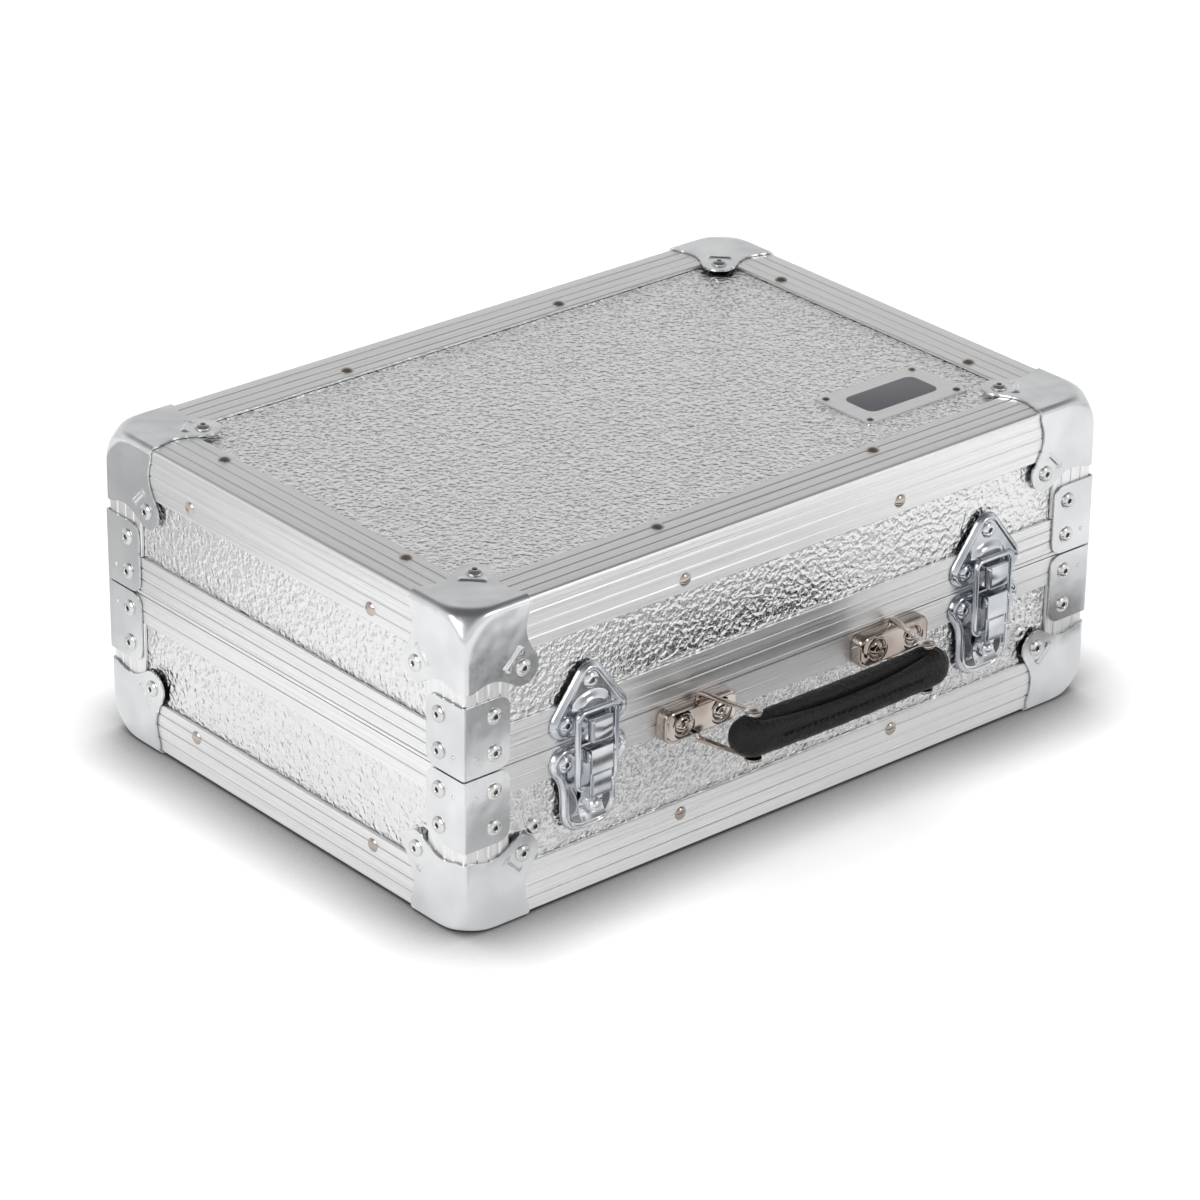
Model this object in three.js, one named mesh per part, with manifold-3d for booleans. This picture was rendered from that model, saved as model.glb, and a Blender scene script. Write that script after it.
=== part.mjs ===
// A hard carrying case: two laminate trays edged with aluminium profiles, steel ball corners and
// corner braces, two draw latches with wire bails, a padded folding handle and two hinges.
// Millimetres, +Z up, front towards -Y. The case lies flat on its four lower ball corners.
import * as THREE from "three";
import { ConvexGeometry } from "three/addons/geometries/ConvexGeometry.js";
import { mergeVertices } from "three/addons/utils/BufferGeometryUtils.js";
import Module from "manifold-3d";

const wasm = await Module();
wasm.setup();

// Driving sizes of the case, measured over the aluminium profiles
const caseLength = 370;
const caseWidth = 254;
const baseDepth = 75;
const lidDepth = 75;
const partingGap = 0.4;

// Clearances
const seat = 0.2; // a riveted plate over what it is riveted to
const fit = 0.3; // a moving or cut piece to its neighbour
const overrun = 2; // how far a cutting tool runs past the piece
const weld = 1e-4;

// Edge and corner profiles: an L with fine grooves along each leg
const profileLeg = 24.5;
const profileWall = 1.5;
const profileRadius = 1.8;
const grooveWidth = 0.8;
const grooveDepth = 0.45;
const grooveShares = [0.29, 0.54, 0.79];

// Trays of foil-faced plywood
const panelThickness = 6.5;
const trayInset = profileWall + seat;

// Closing frames that edge the two rims, the base one with a tongue
const frameWall = 1.5;
const baseFrameSkirt = 13.8;
const lidFrameSkirt = 18.5;
const baseFrameGrooveShares = [0.55];
const lidFrameGrooveShares = [0.1, 0.42, 0.73];
const frameGrip = 9;
const tongueHeight = 6;
const tongueWall = 2;
const tongueInset = 3;
const tongueClearance = 0.4;

// Foam liners
const foamThickness = 9;
const lidStripThickness = 6.5;
const foamGap = 0.4;

// Steel sheet of the corner hardware
const sheet = 1;
const sheetProud = seat + sheet;

// Blind rivets
const rivetRadius = 4;
const rivetHeight = 1.5;
const rivetHole = 1.1;
const rivetCrownShare = 0.62;
const rivetPitShare = 0.35;
const rivetSides = 7;
const pinSides = 8;
const boreSides = 8;

// Ball corners
const capReach = 35;
const capFold = profileRadius + sheetProud;
const ballPlace = 21;
const ballRadius = (ballPlace + sheetProud) * Math.SQRT2; // the ball runs out where it meets the edges
const ballBlend = 2.2;
const capEdgeFlat = 4;
const capLobePlace = 31;
const capLobeRadius = 8.4;
const capLobeStart = THREE.MathUtils.degToRad(-40);
const capNeckShares = [[0.886, 0.4], [0.93, 0.51]];
const capRibPlace = 25.5;
const capRibHalf = 6;
const capRibHalfWidth = 1;
const capRibRise = 0.5;
const ballSegments = 7;
const reliefSegments = 4;
const foldSegments = 3;
const raySteps = 48;

// Corner braces
const braceLeg = 24;
const braceToCap = 1.4;
const braceRadius = 6;
const braceFold = 1.5;
const braceRivetIn = 15.4;
const braceRivetShares = [0.26, 0.765];

// Draw latches, measured from the parting line (up) and the front face (out)
const latchSpacing = caseLength * 0.6357;
const plateRim = 3;
const plateFloor = 1.4;
const plateBevel = 1.2;
const rimWidth = 0.9;
const rimSlope = 0.9;
const catchLobeRadius = 7.9;
const catchLobeX = 13.4;
const catchLobeUp = 9.9;
const catchApexUp = 27.6;
const hookWidth = 12;
const hookBottom = 1.6;
const hookTop = 12.4;
const hookOut = 11;
const hookLip = 0.7;
const hookLipThick = 1.1;
const footLobeRadius = 7.9;
const footLobeX = 13.4;
const footLobeDown = 9;
const footHalfWidth = 15.2;
const footDown = 44;
const footCornerRadius = 11;
const footWaistShares = [0.55, 0.44];
const footLobeStart = THREE.MathUtils.degToRad(-50);
const leverPivotDown = 5;
const leverPivotOut = 7.5;
const leverPinRadius = 1.2;
const leverPinHead = 1.9;
const leverWidth = 12;
const leverTop = 1.5;
const leverFront = 10.5;
const leverBack = 3.2;
const leverHeel = 2; // the lever's top corner is bevelled up to here, this far behind the pin
const leverStepDown = 13.2;
const leverStep = 0.7;
const leverBodyDown = 28.5;
const scoopRadius = 7;
const scoopDown = 31.6;
const scoopWidth = 14;
const scoopWall = 1;
const scoopSides = 24;
const scoopEnd = THREE.MathUtils.degToRad(238);
const scoopBackStart = THREE.MathUtils.degToRad(138);
const buttonRadius = 3.4;
const buttonSides = 10;
const buttonOut = 5.6;
const earThick = 1.2;
const earRadius = 3;
const bailWire = 1.5;
const bailHalfWidth = 10.4;
const bailPivotDown = 21;
const bailPivotOut = 6.4;
const bailEndIn = 4.4;
const bailCorner = 3.5;
const bailSides = 6;

// Folding handle on the base
const handleUp = 66.3;
const bracketSpacing = caseLength * 0.3108;
const bracketLength = 42;
const bracketHeight = 16;
const bracketDepth = 6.6;
const bracketWall = 1.2;
const bracketCorner = 5;
const bracketBevel = 1.2;
const bracketRivets = 21.7;
const dimpleRadius = 4.9;
const dimpleTaper = 0.5;
const dimpleDepth = 1.5;
const dimpleFloor = bracketDepth - dimpleDepth;
const dimpleSides = 10;
const bracketNotch = 7;
const linkWire = 1.5;
const linkAxisOut = 3.5;
const linkReach = 29;
const linkHalfHeight = 11.2;
const linkCorner = 2.4;
const linkSides = 6;
const eyeSides = 10;
const toeIn = 6.3;
const eyeRadius = 4;
const eyeThick = 1.8;
const gripPinRadius = 1.6;
const eyeRivetRadius = 2.6;
const eyeRivetHeight = 0.9;
const gripPastPin = 11.8;
const gripDepth = 18;
const gripHeight = 18.6;
const gripBow = 1.6;
const gripSlot = 4.2;
const gripGrooveDepth = 1.8;
const gripRound = 13;
const gripEndShare = 0.92;
const gripSquareness = 2.6;
const gripGrooveAngles = [95, -20].map(THREE.MathUtils.degToRad);
const gripGrooveWidth = THREE.MathUtils.degToRad(14);
const gripSides = 20;
const gripStationShares = [-1, -0.96, -0.88, -0.7, -0.4, 0, 0.4, 0.7, 0.88, 0.96, 1];

// Hinges on the back
const hingeSpacing = caseLength * 0.5676;
const hingeOut = 4.2;
const knuckleRadius = 3.4;
const hingePinRadius = 1.4;
const hingePinHead = 2.6;
const hingePinHeadThick = 1.2;
const leafWidth = 40;
const leafHeight = 30;
const leafWall = 1.5;
const leafCorner = 4;
const middleKnuckle = 13;
const leafRivetX = 12;
const leafRivetUps = [10.5, 23];
const knuckleSides = 10;

// Places that follow from the sizes
const caseHeight = baseDepth + partingGap + lidDepth;
const parting = baseDepth + partingGap / 2;
const gripPinSpacing = bracketSpacing - 2 * toeIn;
const gripLength = gripPinSpacing + 2 * gripPastPin;
const gripPinOut = linkAxisOut + linkReach;

// Materials
const metal = (color, roughness) => new THREE.MeshStandardMaterial({ color, roughness, metalness: 0.9 });
const soft = (color, roughness) => new THREE.MeshStandardMaterial({ color, roughness, metalness: 0 });
const aluminium = () => metal("#cbc9c7", 0.38);
const stucco = () => metal("#c4c2c0", 0.3);
const zinc = () => metal("#a9adb0", 0.3);
const nickel = () => metal("#b9aea2", 0.22);
const foam = () => soft("#35373a", 0.95);
const leather = () => soft("#202021", 0.55);

// A closed three.js geometry as a solid, and back
function solidOf(geometry) {
  const flat = geometry.index ? geometry.toNonIndexed() : geometry;
  const bare = new THREE.BufferGeometry().setAttribute("position", flat.getAttribute("position"));
  const merged = mergeVertices(bare, weld);
  return new wasm.Manifold(
    new wasm.Mesh({
      numProp: 3,
      vertProperties: merged.attributes.position.array,
      triVerts: new Uint32Array(merged.index.array),
    }),
  );
}

function geometryOf(solid) {
  const mesh = solid.getMesh();
  return new THREE.BufferGeometry()
    .setAttribute("position", new THREE.BufferAttribute(new Float32Array(mesh.vertProperties), 3))
    .setIndex(new THREE.BufferAttribute(new Uint32Array(mesh.triVerts), 1));
}

const join = (...parts) => geometryOf(parts.map(solidOf).reduce((a, b) => a.add(b)));
const cut = (body, ...tools) =>
  geometryOf(tools.map(solidOf).reduce((a, b) => a.subtract(b), solidOf(body)));
const common = (a, b) => geometryOf(solidOf(a).intersect(solidOf(b)));

// Signed volume of an indexed geometry, used to turn its faces outwards
function outward(geometry) {
  const place = geometry.getAttribute("position");
  const index = geometry.index.array;
  const corner = (i) => new THREE.Vector3().fromBufferAttribute(place, i);
  let volume = 0;
  for (let i = 0; i < index.length; i += 3)
    volume += corner(index[i]).dot(corner(index[i + 1]).cross(corner(index[i + 2])));
  if (volume < 0) index.reverse();
  return geometry;
}

function surface(points, triangles) {
  const array = new Float32Array(points.flat());
  const geometry = new THREE.BufferGeometry();
  geometry.setAttribute("position", new THREE.BufferAttribute(array, 3));
  return outward(geometry.setIndex(triangles.flat()));
}

// A moved or mirrored copy whose faces still point out
function moved(geometry, matrix) {
  const copy = geometry.clone();
  copy.deleteAttribute("normal");
  copy.deleteAttribute("uv");
  return outward(mergeVertices(copy, weld).applyMatrix4(matrix));
}

const scaling = (x, y, z) => new THREE.Matrix4().makeScale(x, y, z);

// Rows of equally many points joined into a closed tube: each row is a closed outline
function lofted(rows, endless = false) {
  const count = rows[0].length;
  const triangles = [];
  const last = endless ? rows.length : rows.length - 1;
  for (let r = 0; r < last; r++)
    for (let i = 0; i < count; i++) {
      const a = r * count + i;
      const b = r * count + ((i + 1) % count);
      const c = ((r + 1) % rows.length) * count + i;
      const d = ((r + 1) % rows.length) * count + ((i + 1) % count);
      triangles.push([a, b, d], [a, d, c]);
    }
  if (!endless) triangles.push(...lids(rows, count));
  return surface(rows.flat(), triangles);
}

// The two end faces of a lofted tube, each turned against the sides that meet it
function lids(rows, count) {
  return [0, rows.length - 1].flatMap((row, end) => {
    const flat = flatOutline(rows[row]);
    const kept = THREE.ShapeUtils.area(flat) > 0 === (end === 1);
    const faces = THREE.ShapeUtils.triangulateShape(flat, []);
    return faces.map(([a, b, c]) => (kept ? [a, b, c] : [a, c, b]).map((i) => row * count + i));
  });
}

function flatOutline(row) {
  const spans = [0, 1, 2].map((k) => Math.max(...row.map((p) => p[k])) - Math.min(...row.map((p) => p[k])));
  const dropped = spans.indexOf(Math.min(...spans));
  const [u, v] = [[1, 2], [2, 0], [0, 1]][dropped];
  return row.map((p) => new THREE.Vector2(p[u], p[v]));
}

function box(x0, x1, y0, y1, z0, z1) {
  const middle = [(x0 + x1) / 2, (y0 + y1) / 2, (z0 + z1) / 2];
  return new THREE.BoxGeometry(x1 - x0, y1 - y0, z1 - z0).translate(...middle);
}

// An outline in x and y, extruded along z between two heights
function plate(outline, z0, z1) {
  return lofted([outline.map(([x, y]) => [x, y, z0]), outline.map(([x, y]) => [x, y, z1])]);
}

// A cylinder along x
function rod(radius, x0, x1, y, z, sides) {
  const rod = new THREE.CylinderGeometry(radius, radius, x1 - x0, sides).rotateZ(Math.PI / 2);
  return rod.translate((x0 + x1) / 2, y, z);
}

// A cylinder or a taper along z
function post(radius, x, y, z0, z1, sides, farRadius = radius) {
  const taper = new THREE.CylinderGeometry(farRadius, radius, z1 - z0, sides);
  return taper.rotateX(Math.PI / 2).translate(x, y, (z0 + z1) / 2);
}

function arc(x, y, radius, start, end, steps) {
  return Array.from({ length: steps + 1 }, (_, i) => {
    const angle = start + ((end - start) * i) / steps;
    return [x + radius * Math.cos(angle), y + radius * Math.sin(angle)];
  });
}

function bezier(points, steps) {
  const curve = new THREE.CubicBezierCurve(...points.map(([x, y]) => new THREE.Vector2(x, y)));
  return curve.getPoints(steps).map((p) => [p.x, p.y]);
}

const right = Math.PI / 2;

// A rectangle with rounded corners, drawn in by an inset
function roundedRectangle(halfX, halfY, radius, inset, steps) {
  const r = radius - inset;
  const x = halfX - radius;
  const y = halfY - radius;
  return [
    ...arc(x, y, r, 0, right, steps),
    ...arc(-x, y, r, right, 2 * right, steps),
    ...arc(-x, -y, r, 2 * right, 3 * right, steps),
    ...arc(x, -y, r, 3 * right, 4 * right, steps),
  ];
}

// A wire bent in one plane: its route is given in x and y, and its axis lies at height z
function wire(route, radius, sides, z) {
  const along = (i) => {
    const [a, b] = [route[Math.max(i - 1, 0)], route[Math.min(i + 1, route.length - 1)]];
    return new THREE.Vector2(b[0] - a[0], b[1] - a[1]).normalize();
  };
  const rows = route.map(([x, y], i) => {
    const d = along(i);
    return Array.from({ length: sides }, (_, k) => {
      const angle = ((k + 0.5) / sides) * 4 * right;
      const side = radius * Math.cos(angle);
      return [x - d.y * side, y + d.x * side, z + radius * Math.sin(angle)];
    });
  });
  return lofted(rows);
}

// A blind rivet's head on a face that looks along +z, with the pit of its mandrel
function rivet(x, y, z) {
  const sunk = -sheet / 2;
  const outline = [
    [0, sunk],
    [rivetRadius, sunk],
    [rivetRadius * rivetCrownShare, rivetHeight],
    [rivetHole, rivetHeight],
    [0, rivetHeight * rivetPitShare],
  ];
  const head = new THREE.LatheGeometry(outline.map(([r, h]) => new THREE.Vector2(r, h)), rivetSides);
  return head.rotateX(right).translate(x, y, z);
}

const caseGroup = new THREE.Group();

function add(parent, name, geometry, material) {
  const mesh = new THREE.Mesh(geometry, material);
  mesh.name = name;
  parent.add(mesh);
  return mesh;
}

// The L section of the edge and corner profiles: a runs inwards along one face, b along the other
function profileOutline() {
  const grooves = grooveShares.flatMap((share) => {
    const middle = profileLeg * share;
    return [[middle - grooveWidth / 2, 0], [middle, grooveDepth], [middle + grooveWidth / 2, 0]];
  });
  const swapped = [...grooves].reverse().map(([a, b]) => [b, a]);
  return [
    ...arc(profileRadius, profileRadius, profileRadius, 2 * right, 3 * right, 3),
    ...grooves,
    [profileLeg, 0],
    [profileLeg, profileWall],
    [profileWall, profileWall],
    [profileWall, profileLeg],
    [0, profileLeg],
    ...swapped,
  ];
}

// The solid that the ball corner wraps: three flat faces, tight folds between them, and a ball that
// blends into both. Its points are where rays from the ball's centre leave the solid.
function cornerHull(offset, fold, radius, far, segments) {
  const axis = fold - offset;
  const outside = (point) => {
    const overFold = Math.hypot(...point.map((value) => Math.max(axis - value, 0))) - fold;
    const overBall = Math.hypot(...point.map((value) => Math.max(ballPlace - value, 0))) - radius;
    const share = Math.max(ballBlend - Math.abs(overFold - overBall), 0) / ballBlend;
    return Math.max(overFold, overBall) + (share * share * ballBlend) / 4 > 0;
  };
  const leave = (direction) => {
    let [near, beyond] = [0, radius];
    for (let i = 0; i < raySteps; i++) {
      const middle = (near + beyond) / 2;
      const point = direction.map((value) => ballPlace - value * middle);
      if (outside(point)) beyond = middle;
      else near = middle;
    }
    return direction.map((value) => Math.max(ballPlace - value * near, -offset));
  };
  const points = [[far, far, far]];
  for (let i = 0; i <= segments; i++)
    for (let j = 0; j <= segments - i; j++) {
      const ray = [i, j, segments - i - j];
      points.push(leave(ray.map((value) => value / Math.hypot(...ray))));
    }
  for (const [u, v] of arc(axis, axis, fold, 2 * right, 3 * right, foldSegments))
    for (const w of [ballPlace, far]) points.push([u, v, w], [v, w, u], [w, u, v]);
  points.push([far, far, -offset], [far, -offset, far], [-offset, far, far]);
  return new ConvexGeometry(points.map(([x, y, z]) => new THREE.Vector3(x, y, z)));
}

// What is cut off the tray and profiles so that they fit under the ball
function cornerRelief() {
  const far = capReach + overrun;
  const skin = seat / 4;
  const ball = ballRadius - sheet - 2 * fit;
  const hull = cornerHull(skin, profileRadius + skin, ball, far + overrun, reliefSegments);
  return cut(box(-overrun, far, -overrun, far, -overrun, far), hull);
}

const relief = cornerRelief();

// The relief moved to a corner of a box that runs inwards from there
function reliefAt(x, y, signX, signY) {
  return moved(relief, scaling(signX, signY, 1)).translate(x, y, 0);
}

// A profile bar along x with mitred ends: y runs inwards, z away from the skin
function edgeBar(length) {
  const outline = profileOutline();
  const end = (side) => outline.map(([a, b]) => [side * (length / 2 - a - fit / 2), a, b]);
  const bar = lofted([end(-1), end(1)]);
  return cut(bar, reliefAt(-length / 2, 0, 1, 1), reliefAt(length / 2, 0, -1, 1));
}

// The upright profile in a corner of the tray, between the edge bars and the closing frame
function cornerBar(depth, skirt) {
  return cut(plate(profileOutline(), profileLeg + fit, depth - skirt - fit), relief);
}

// An open tray whose rim ends at a height, with its corners cut back under the balls
function trayShell(rim) {
  const x = caseLength / 2 - trayInset;
  const y = caseWidth / 2 - trayInset;
  const inner = [x - panelThickness, y - panelThickness];
  const outerBox = box(-x, x, -y, y, trayInset, rim);
  const hollow = box(-inner[0], inner[0], -inner[1], inner[1], trayInset + panelThickness, rim + overrun);
  const corners = [-1, 1].flatMap((sx) =>
    [-1, 1].map((sy) => reliefAt((sx * caseLength) / 2, (sy * caseWidth) / 2, -sx, -sy)),
  );
  return cut(outerBox, hollow, ...corners);
}

// A section carried round the rim with mitred corners: a is the inset from the outer face
function rimFrame(section) {
  const corners = [[-1, -1], [1, -1], [1, 1], [-1, 1]];
  const rows = corners.map(([sx, sy]) =>
    section.map(([a, z]) => [sx * (caseLength / 2 - a), sy * (caseWidth / 2 - a), z]),
  );
  return lofted(rows, true);
}

const frameInner = 2 * frameWall + panelThickness + 2 * seat;

// V grooves down the outside of a closing frame, from the top one down
function skirtGrooves(top, bottom, shares) {
  return shares.flatMap((share) => {
    const middle = top - (top - bottom) * share;
    return [[0, middle + grooveWidth / 2], [grooveDepth, middle], [0, middle - grooveWidth / 2]];
  });
}

function baseFrameSection() {
  const bottom = baseDepth - baseFrameSkirt;
  const web = baseDepth - frameWall;
  return [
    [0, baseDepth],
    ...skirtGrooves(baseDepth, bottom, baseFrameGrooveShares),
    [0, bottom],
    [frameWall, bottom],
    [frameWall, web],
    [frameInner - frameWall, web],
    [frameInner - frameWall, baseDepth - frameGrip],
    [frameInner, baseDepth - frameGrip],
    [frameInner, baseDepth],
    [tongueInset + tongueWall, baseDepth],
    [tongueInset + tongueWall, baseDepth + tongueHeight],
    [tongueInset, baseDepth + tongueHeight],
    [tongueInset, baseDepth],
  ];
}

const lidWeb = lidDepth + partingGap - tongueHeight - tongueClearance;

function lidFrameSection() {
  const bottom = lidDepth - lidFrameSkirt;
  return [
    [0, lidDepth],
    ...skirtGrooves(lidDepth, bottom, lidFrameGrooveShares),
    [0, bottom],
    [frameWall, bottom],
    [frameWall, lidWeb - frameWall],
    [frameInner - frameWall, lidWeb - frameWall],
    [frameInner - frameWall, lidWeb - frameGrip],
    [frameInner, lidWeb - frameGrip],
    [frameInner, lidWeb],
    [frameWall, lidWeb],
    [frameWall, lidDepth],
  ];
}

const foamInset = trayInset + panelThickness + foamGap;
const foamX = caseLength / 2 - foamInset;
const foamY = caseWidth / 2 - foamInset;

// A pad of foam on the floor of a tray
function foamPad() {
  return box(-foamX, foamX, -foamY, foamY, foamInset, foamInset + foamThickness);
}

// Foam along the four walls of a tray between two heights
function foamWalls(low, top, thick) {
  const [x, y] = [foamX - thick, foamY - thick];
  return cut(box(-foamX, foamX, -foamY, foamY, low, top), box(-x, x, -y, y, low - overrun, top + overrun));
}

// Turns a piece made on the skin face to the next face of the corner
function cyclic(geometry, turns) {
  const turn = new THREE.Matrix4().set(0, 0, 1, 0, 1, 0, 0, 0, 0, 1, 0, 0, 0, 0, 0, 1);
  const copy = geometry.clone();
  for (let i = 0; i < turns; i++) copy.applyMatrix4(turn);
  return copy;
}

// One leg of the ball corner in outline: flat at the edge, a waist, and a lobe round the rivet
function capOutline() {
  const lobe = arc(capLobePlace, capLobePlace, capLobeRadius, capLobeStart, right - capLobeStart, 6);
  const neck = capNeckShares.map(([u, v]) => [capReach * u, capReach * v]);
  const side = bezier([[capReach, capEdgeFlat], ...neck, lobe[0]], 4).slice(0, -1);
  const mirror = [...side].reverse().map(([u, v]) => [v, u]);
  const start = -sheetProud - overrun;
  return [[start, start], [capReach, start], ...side, ...lobe, ...mirror, [start, capReach]];
}

// The rib pressed across a leg of the ball corner, between the ball and the rivet
function capRib() {
  const [x, y] = [capRibHalf, capRibHalfWidth];
  const rib = box(-x, x, -y, y, -sheetProud - capRibRise, -sheetProud + sheet / 2);
  return rib.rotateZ(-right / 2).translate(capRibPlace, capRibPlace, 0);
}

function cornerCap(rivetedLegs) {
  const far = capReach + capLobeRadius + 2 * overrun;
  const shell = cut(
    cornerHull(sheetProud, capFold, ballRadius, far, ballSegments),
    cornerHull(seat, capFold - sheet, ballRadius - sheet, far + overrun, ballSegments),
  );
  const leg = plate(capOutline(), -sheetProud - overrun, ballPlace / 2);
  const legs = join(leg, cyclic(leg, 1), cyclic(leg, 2));
  const head = join(rivet(capLobePlace, -capLobePlace, sheetProud).rotateX(2 * right), capRib());
  return join(common(shell, legs), ...rivetedLegs.map((turns) => cyclic(head, turns)));
}

// Swaps x and y, which takes a corner's front face to its side face
const swap = new THREE.Matrix4().set(0, 1, 0, 0, 1, 0, 0, 0, 0, 0, 1, 0, 0, 0, 0, 1);

// The plan of a folded L plate with a round outer fold, longer than its legs
function foldOutline() {
  const middle = braceFold - sheetProud;
  const end = braceLeg + overrun;
  return [
    ...arc(middle, middle, braceFold, 2 * right, 3 * right, 2),
    [end, -sheetProud],
    [end, -seat],
    ...arc(middle, middle, braceFold - sheet, 3 * right, 2 * right, 2),
    [-seat, end],
    [-sheetProud, end],
  ];
}

// The L plate over an upright edge beside the parting line, in the frame of a corner
function cornerBrace(depth) {
  const top = depth - seat;
  const braceHeight = top - capLobePlace - capLobeRadius - braceToCap;
  const middle = top - braceHeight / 2;
  const bent = plate(foldOutline(), middle - braceHeight, top + overrun);
  const face = roundedRectangle(braceLeg, braceHeight / 2, braceRadius, 0, 3);
  const front = plate(face, -braceFold, sheetProud + overrun).rotateX(right).translate(0, 0, middle);
  const places = braceRivetShares.map((share) => top - braceHeight * share);
  const heads = places.map((z) => rivet(braceRivetIn, z, sheetProud).rotateX(right));
  const legs = join(front, moved(front, swap));
  return join(common(bent, legs), ...heads, ...heads.map((head) => moved(head, swap)));
}

// One tray with its profiles, closing frame, ball corners and braces, skin at z = 0
function addShell(parent, name, depth, skirt, section, rim, rivetedLegs) {
  add(parent, name + "_tray", trayShell(rim), stucco());
  add(parent, name + "_closing_frame", rimFrame(section), aluminium());
  const long = edgeBar(caseLength);
  const short = edgeBar(caseWidth);
  const edges = [
    ["front", long, 0, -caseWidth / 2, 0],
    ["back", long, 0, caseWidth / 2, 2 * right],
    ["left", short, -caseLength / 2, 0, -right],
    ["right", short, caseLength / 2, 0, right],
  ];
  for (const [side, bar, x, y, turn] of edges) {
    const mesh = add(parent, name + "_edge_profile_" + side, bar, aluminium());
    mesh.position.set(x, y, 0);
    mesh.rotation.z = turn;
  }
  addCorners(parent, name, depth, skirt, rivetedLegs);
}

function addCorners(parent, name, depth, skirt, rivetedLegs) {
  const bar = cornerBar(depth, skirt);
  const cap = cornerCap(rivetedLegs);
  const brace = cornerBrace(depth);
  for (const [end, sy] of [["front", -1], ["back", 1]])
    for (const [side, sx] of [["left", -1], ["right", 1]]) {
      const corner = new THREE.Group();
      corner.position.set((sx * caseLength) / 2, (sy * caseWidth) / 2, 0);
      corner.scale.set(-sx, -sy, 1);
      parent.add(corner);
      const place = "_" + end + "_" + side;
      add(corner, name + "_corner_profile" + place, bar, aluminium());
      add(corner, name + "_ball_corner" + place, cap, zinc());
      add(corner, name + "_corner_brace" + place, brace, zinc());
    }
}

const baseShell = new THREE.Group();
const lidShell = new THREE.Group();
lidShell.position.z = caseHeight;
lidShell.scale.z = -1;
caseGroup.add(baseShell, lidShell);

const baseRim = baseDepth - frameWall - seat;
const lidRim = lidWeb - frameWall - seat;
const baseLinerTop = baseDepth - frameGrip - fit;
const lidLinerTop = lidWeb - frameGrip - fit;
// Legs of a ball corner that show a rivet head: the base stands flat on its legs below, leg 0
const baseLegs = [1, 2];
const lidLegs = [0, 1, 2];
addShell(baseShell, "base", baseDepth, baseFrameSkirt, baseFrameSection(), baseRim, baseLegs);
addShell(lidShell, "lid", lidDepth, lidFrameSkirt, lidFrameSection(), lidRim, lidLegs);
// The base has a moulded liner in one piece, the lid a pad with a ring of strips below it
add(baseShell, "base_foam_liner", join(foamPad(), foamWalls(foamInset, baseLinerTop, foamThickness)), foam());
add(lidShell, "lid_foam_pad", foamPad(), foam());
const lidStripBase = foamInset + foamThickness + foamGap;
add(lidShell, "lid_foam_walls", foamWalls(lidStripBase, lidLinerTop, lidStripThickness), foam());

// A face of the case at the parting line: x along it, y up, z out of it
function faceFrame(y, turn) {
  const outer = new THREE.Group();
  outer.position.set(0, y, parting);
  outer.rotation.z = turn;
  const inner = new THREE.Group();
  inner.rotation.x = right;
  outer.add(inner);
  caseGroup.add(outer);
  return inner;
}

const front = faceFrame(-caseWidth / 2, 0);
const back = faceFrame(caseWidth / 2, 2 * right);

// A section drawn as out and up, extruded along x
function sideways(outline, x0, x1) {
  return lofted([outline.map(([out, up]) => [x0, up, out]), outline.map(([out, up]) => [x1, up, out])]);
}

// A pressed plate with a sloping edge, a raised rim and a sunk floor
function dishedPlate(outline) {
  const rows = [
    [0, seat],
    [0, plateRim - plateBevel],
    [plateBevel, plateRim],
    [plateBevel + rimWidth, plateRim],
    [plateBevel + rimWidth + rimSlope, plateFloor],
  ];
  return lofted(rows.map(([inset, z]) => outline(inset).map(([x, y]) => [x, y, z])));
}

const mirrorX = (points) => [...points].reverse().map(([x, y]) => [-x, y]);

// Three lobes joined by straight sides
function catchOutline(inset) {
  const lean = Math.atan2(catchLobeX, catchApexUp - catchLobeUp);
  const radius = catchLobeRadius - inset;
  const half = [
    ...arc(catchLobeX, catchLobeUp, radius, -right, lean, 4),
    ...arc(0, catchApexUp, radius, lean, right, 3).slice(0, -1),
  ];
  return [...half, [0, catchApexUp + radius], ...mirrorX(half)];
}

function catchPlate() {
  const root = plateFloor - seat;
  const nose = [
    [root, hookBottom],
    [hookOut, hookBottom],
    [hookOut, hookTop + hookLip],
    [hookOut - hookLipThick, hookTop + hookLip],
    [hookOut - hookLipThick, hookTop],
    [root, hookTop],
  ];
  return join(
    dishedPlate(catchOutline),
    sideways(nose, -hookWidth / 2, hookWidth / 2),
    rivet(0, catchApexUp - seat, plateFloor),
    rivet(catchLobeX, catchLobeUp, plateFloor),
    rivet(-catchLobeX, catchLobeUp, plateFloor),
  );
}

// Two lobes beside the parting line, a waist and a round foot
function footOutline(inset) {
  const x = footHalfWidth - inset;
  const radius = footCornerRadius - inset;
  const foot = arc(footHalfWidth - footCornerRadius, footCornerRadius - footDown, radius, -right, 0, 3);
  const lobe = arc(footLobeX, -footLobeDown, footLobeRadius - inset, footLobeStart, right, 4);
  const waist = footWaistShares.map((share) => [x, -footDown * share]);
  const half = [...foot, ...bezier([foot[foot.length - 1], ...waist, lobe[0]], 4).slice(1, -1), ...lobe];
  return [...half, ...mirrorX(half)];
}

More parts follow.
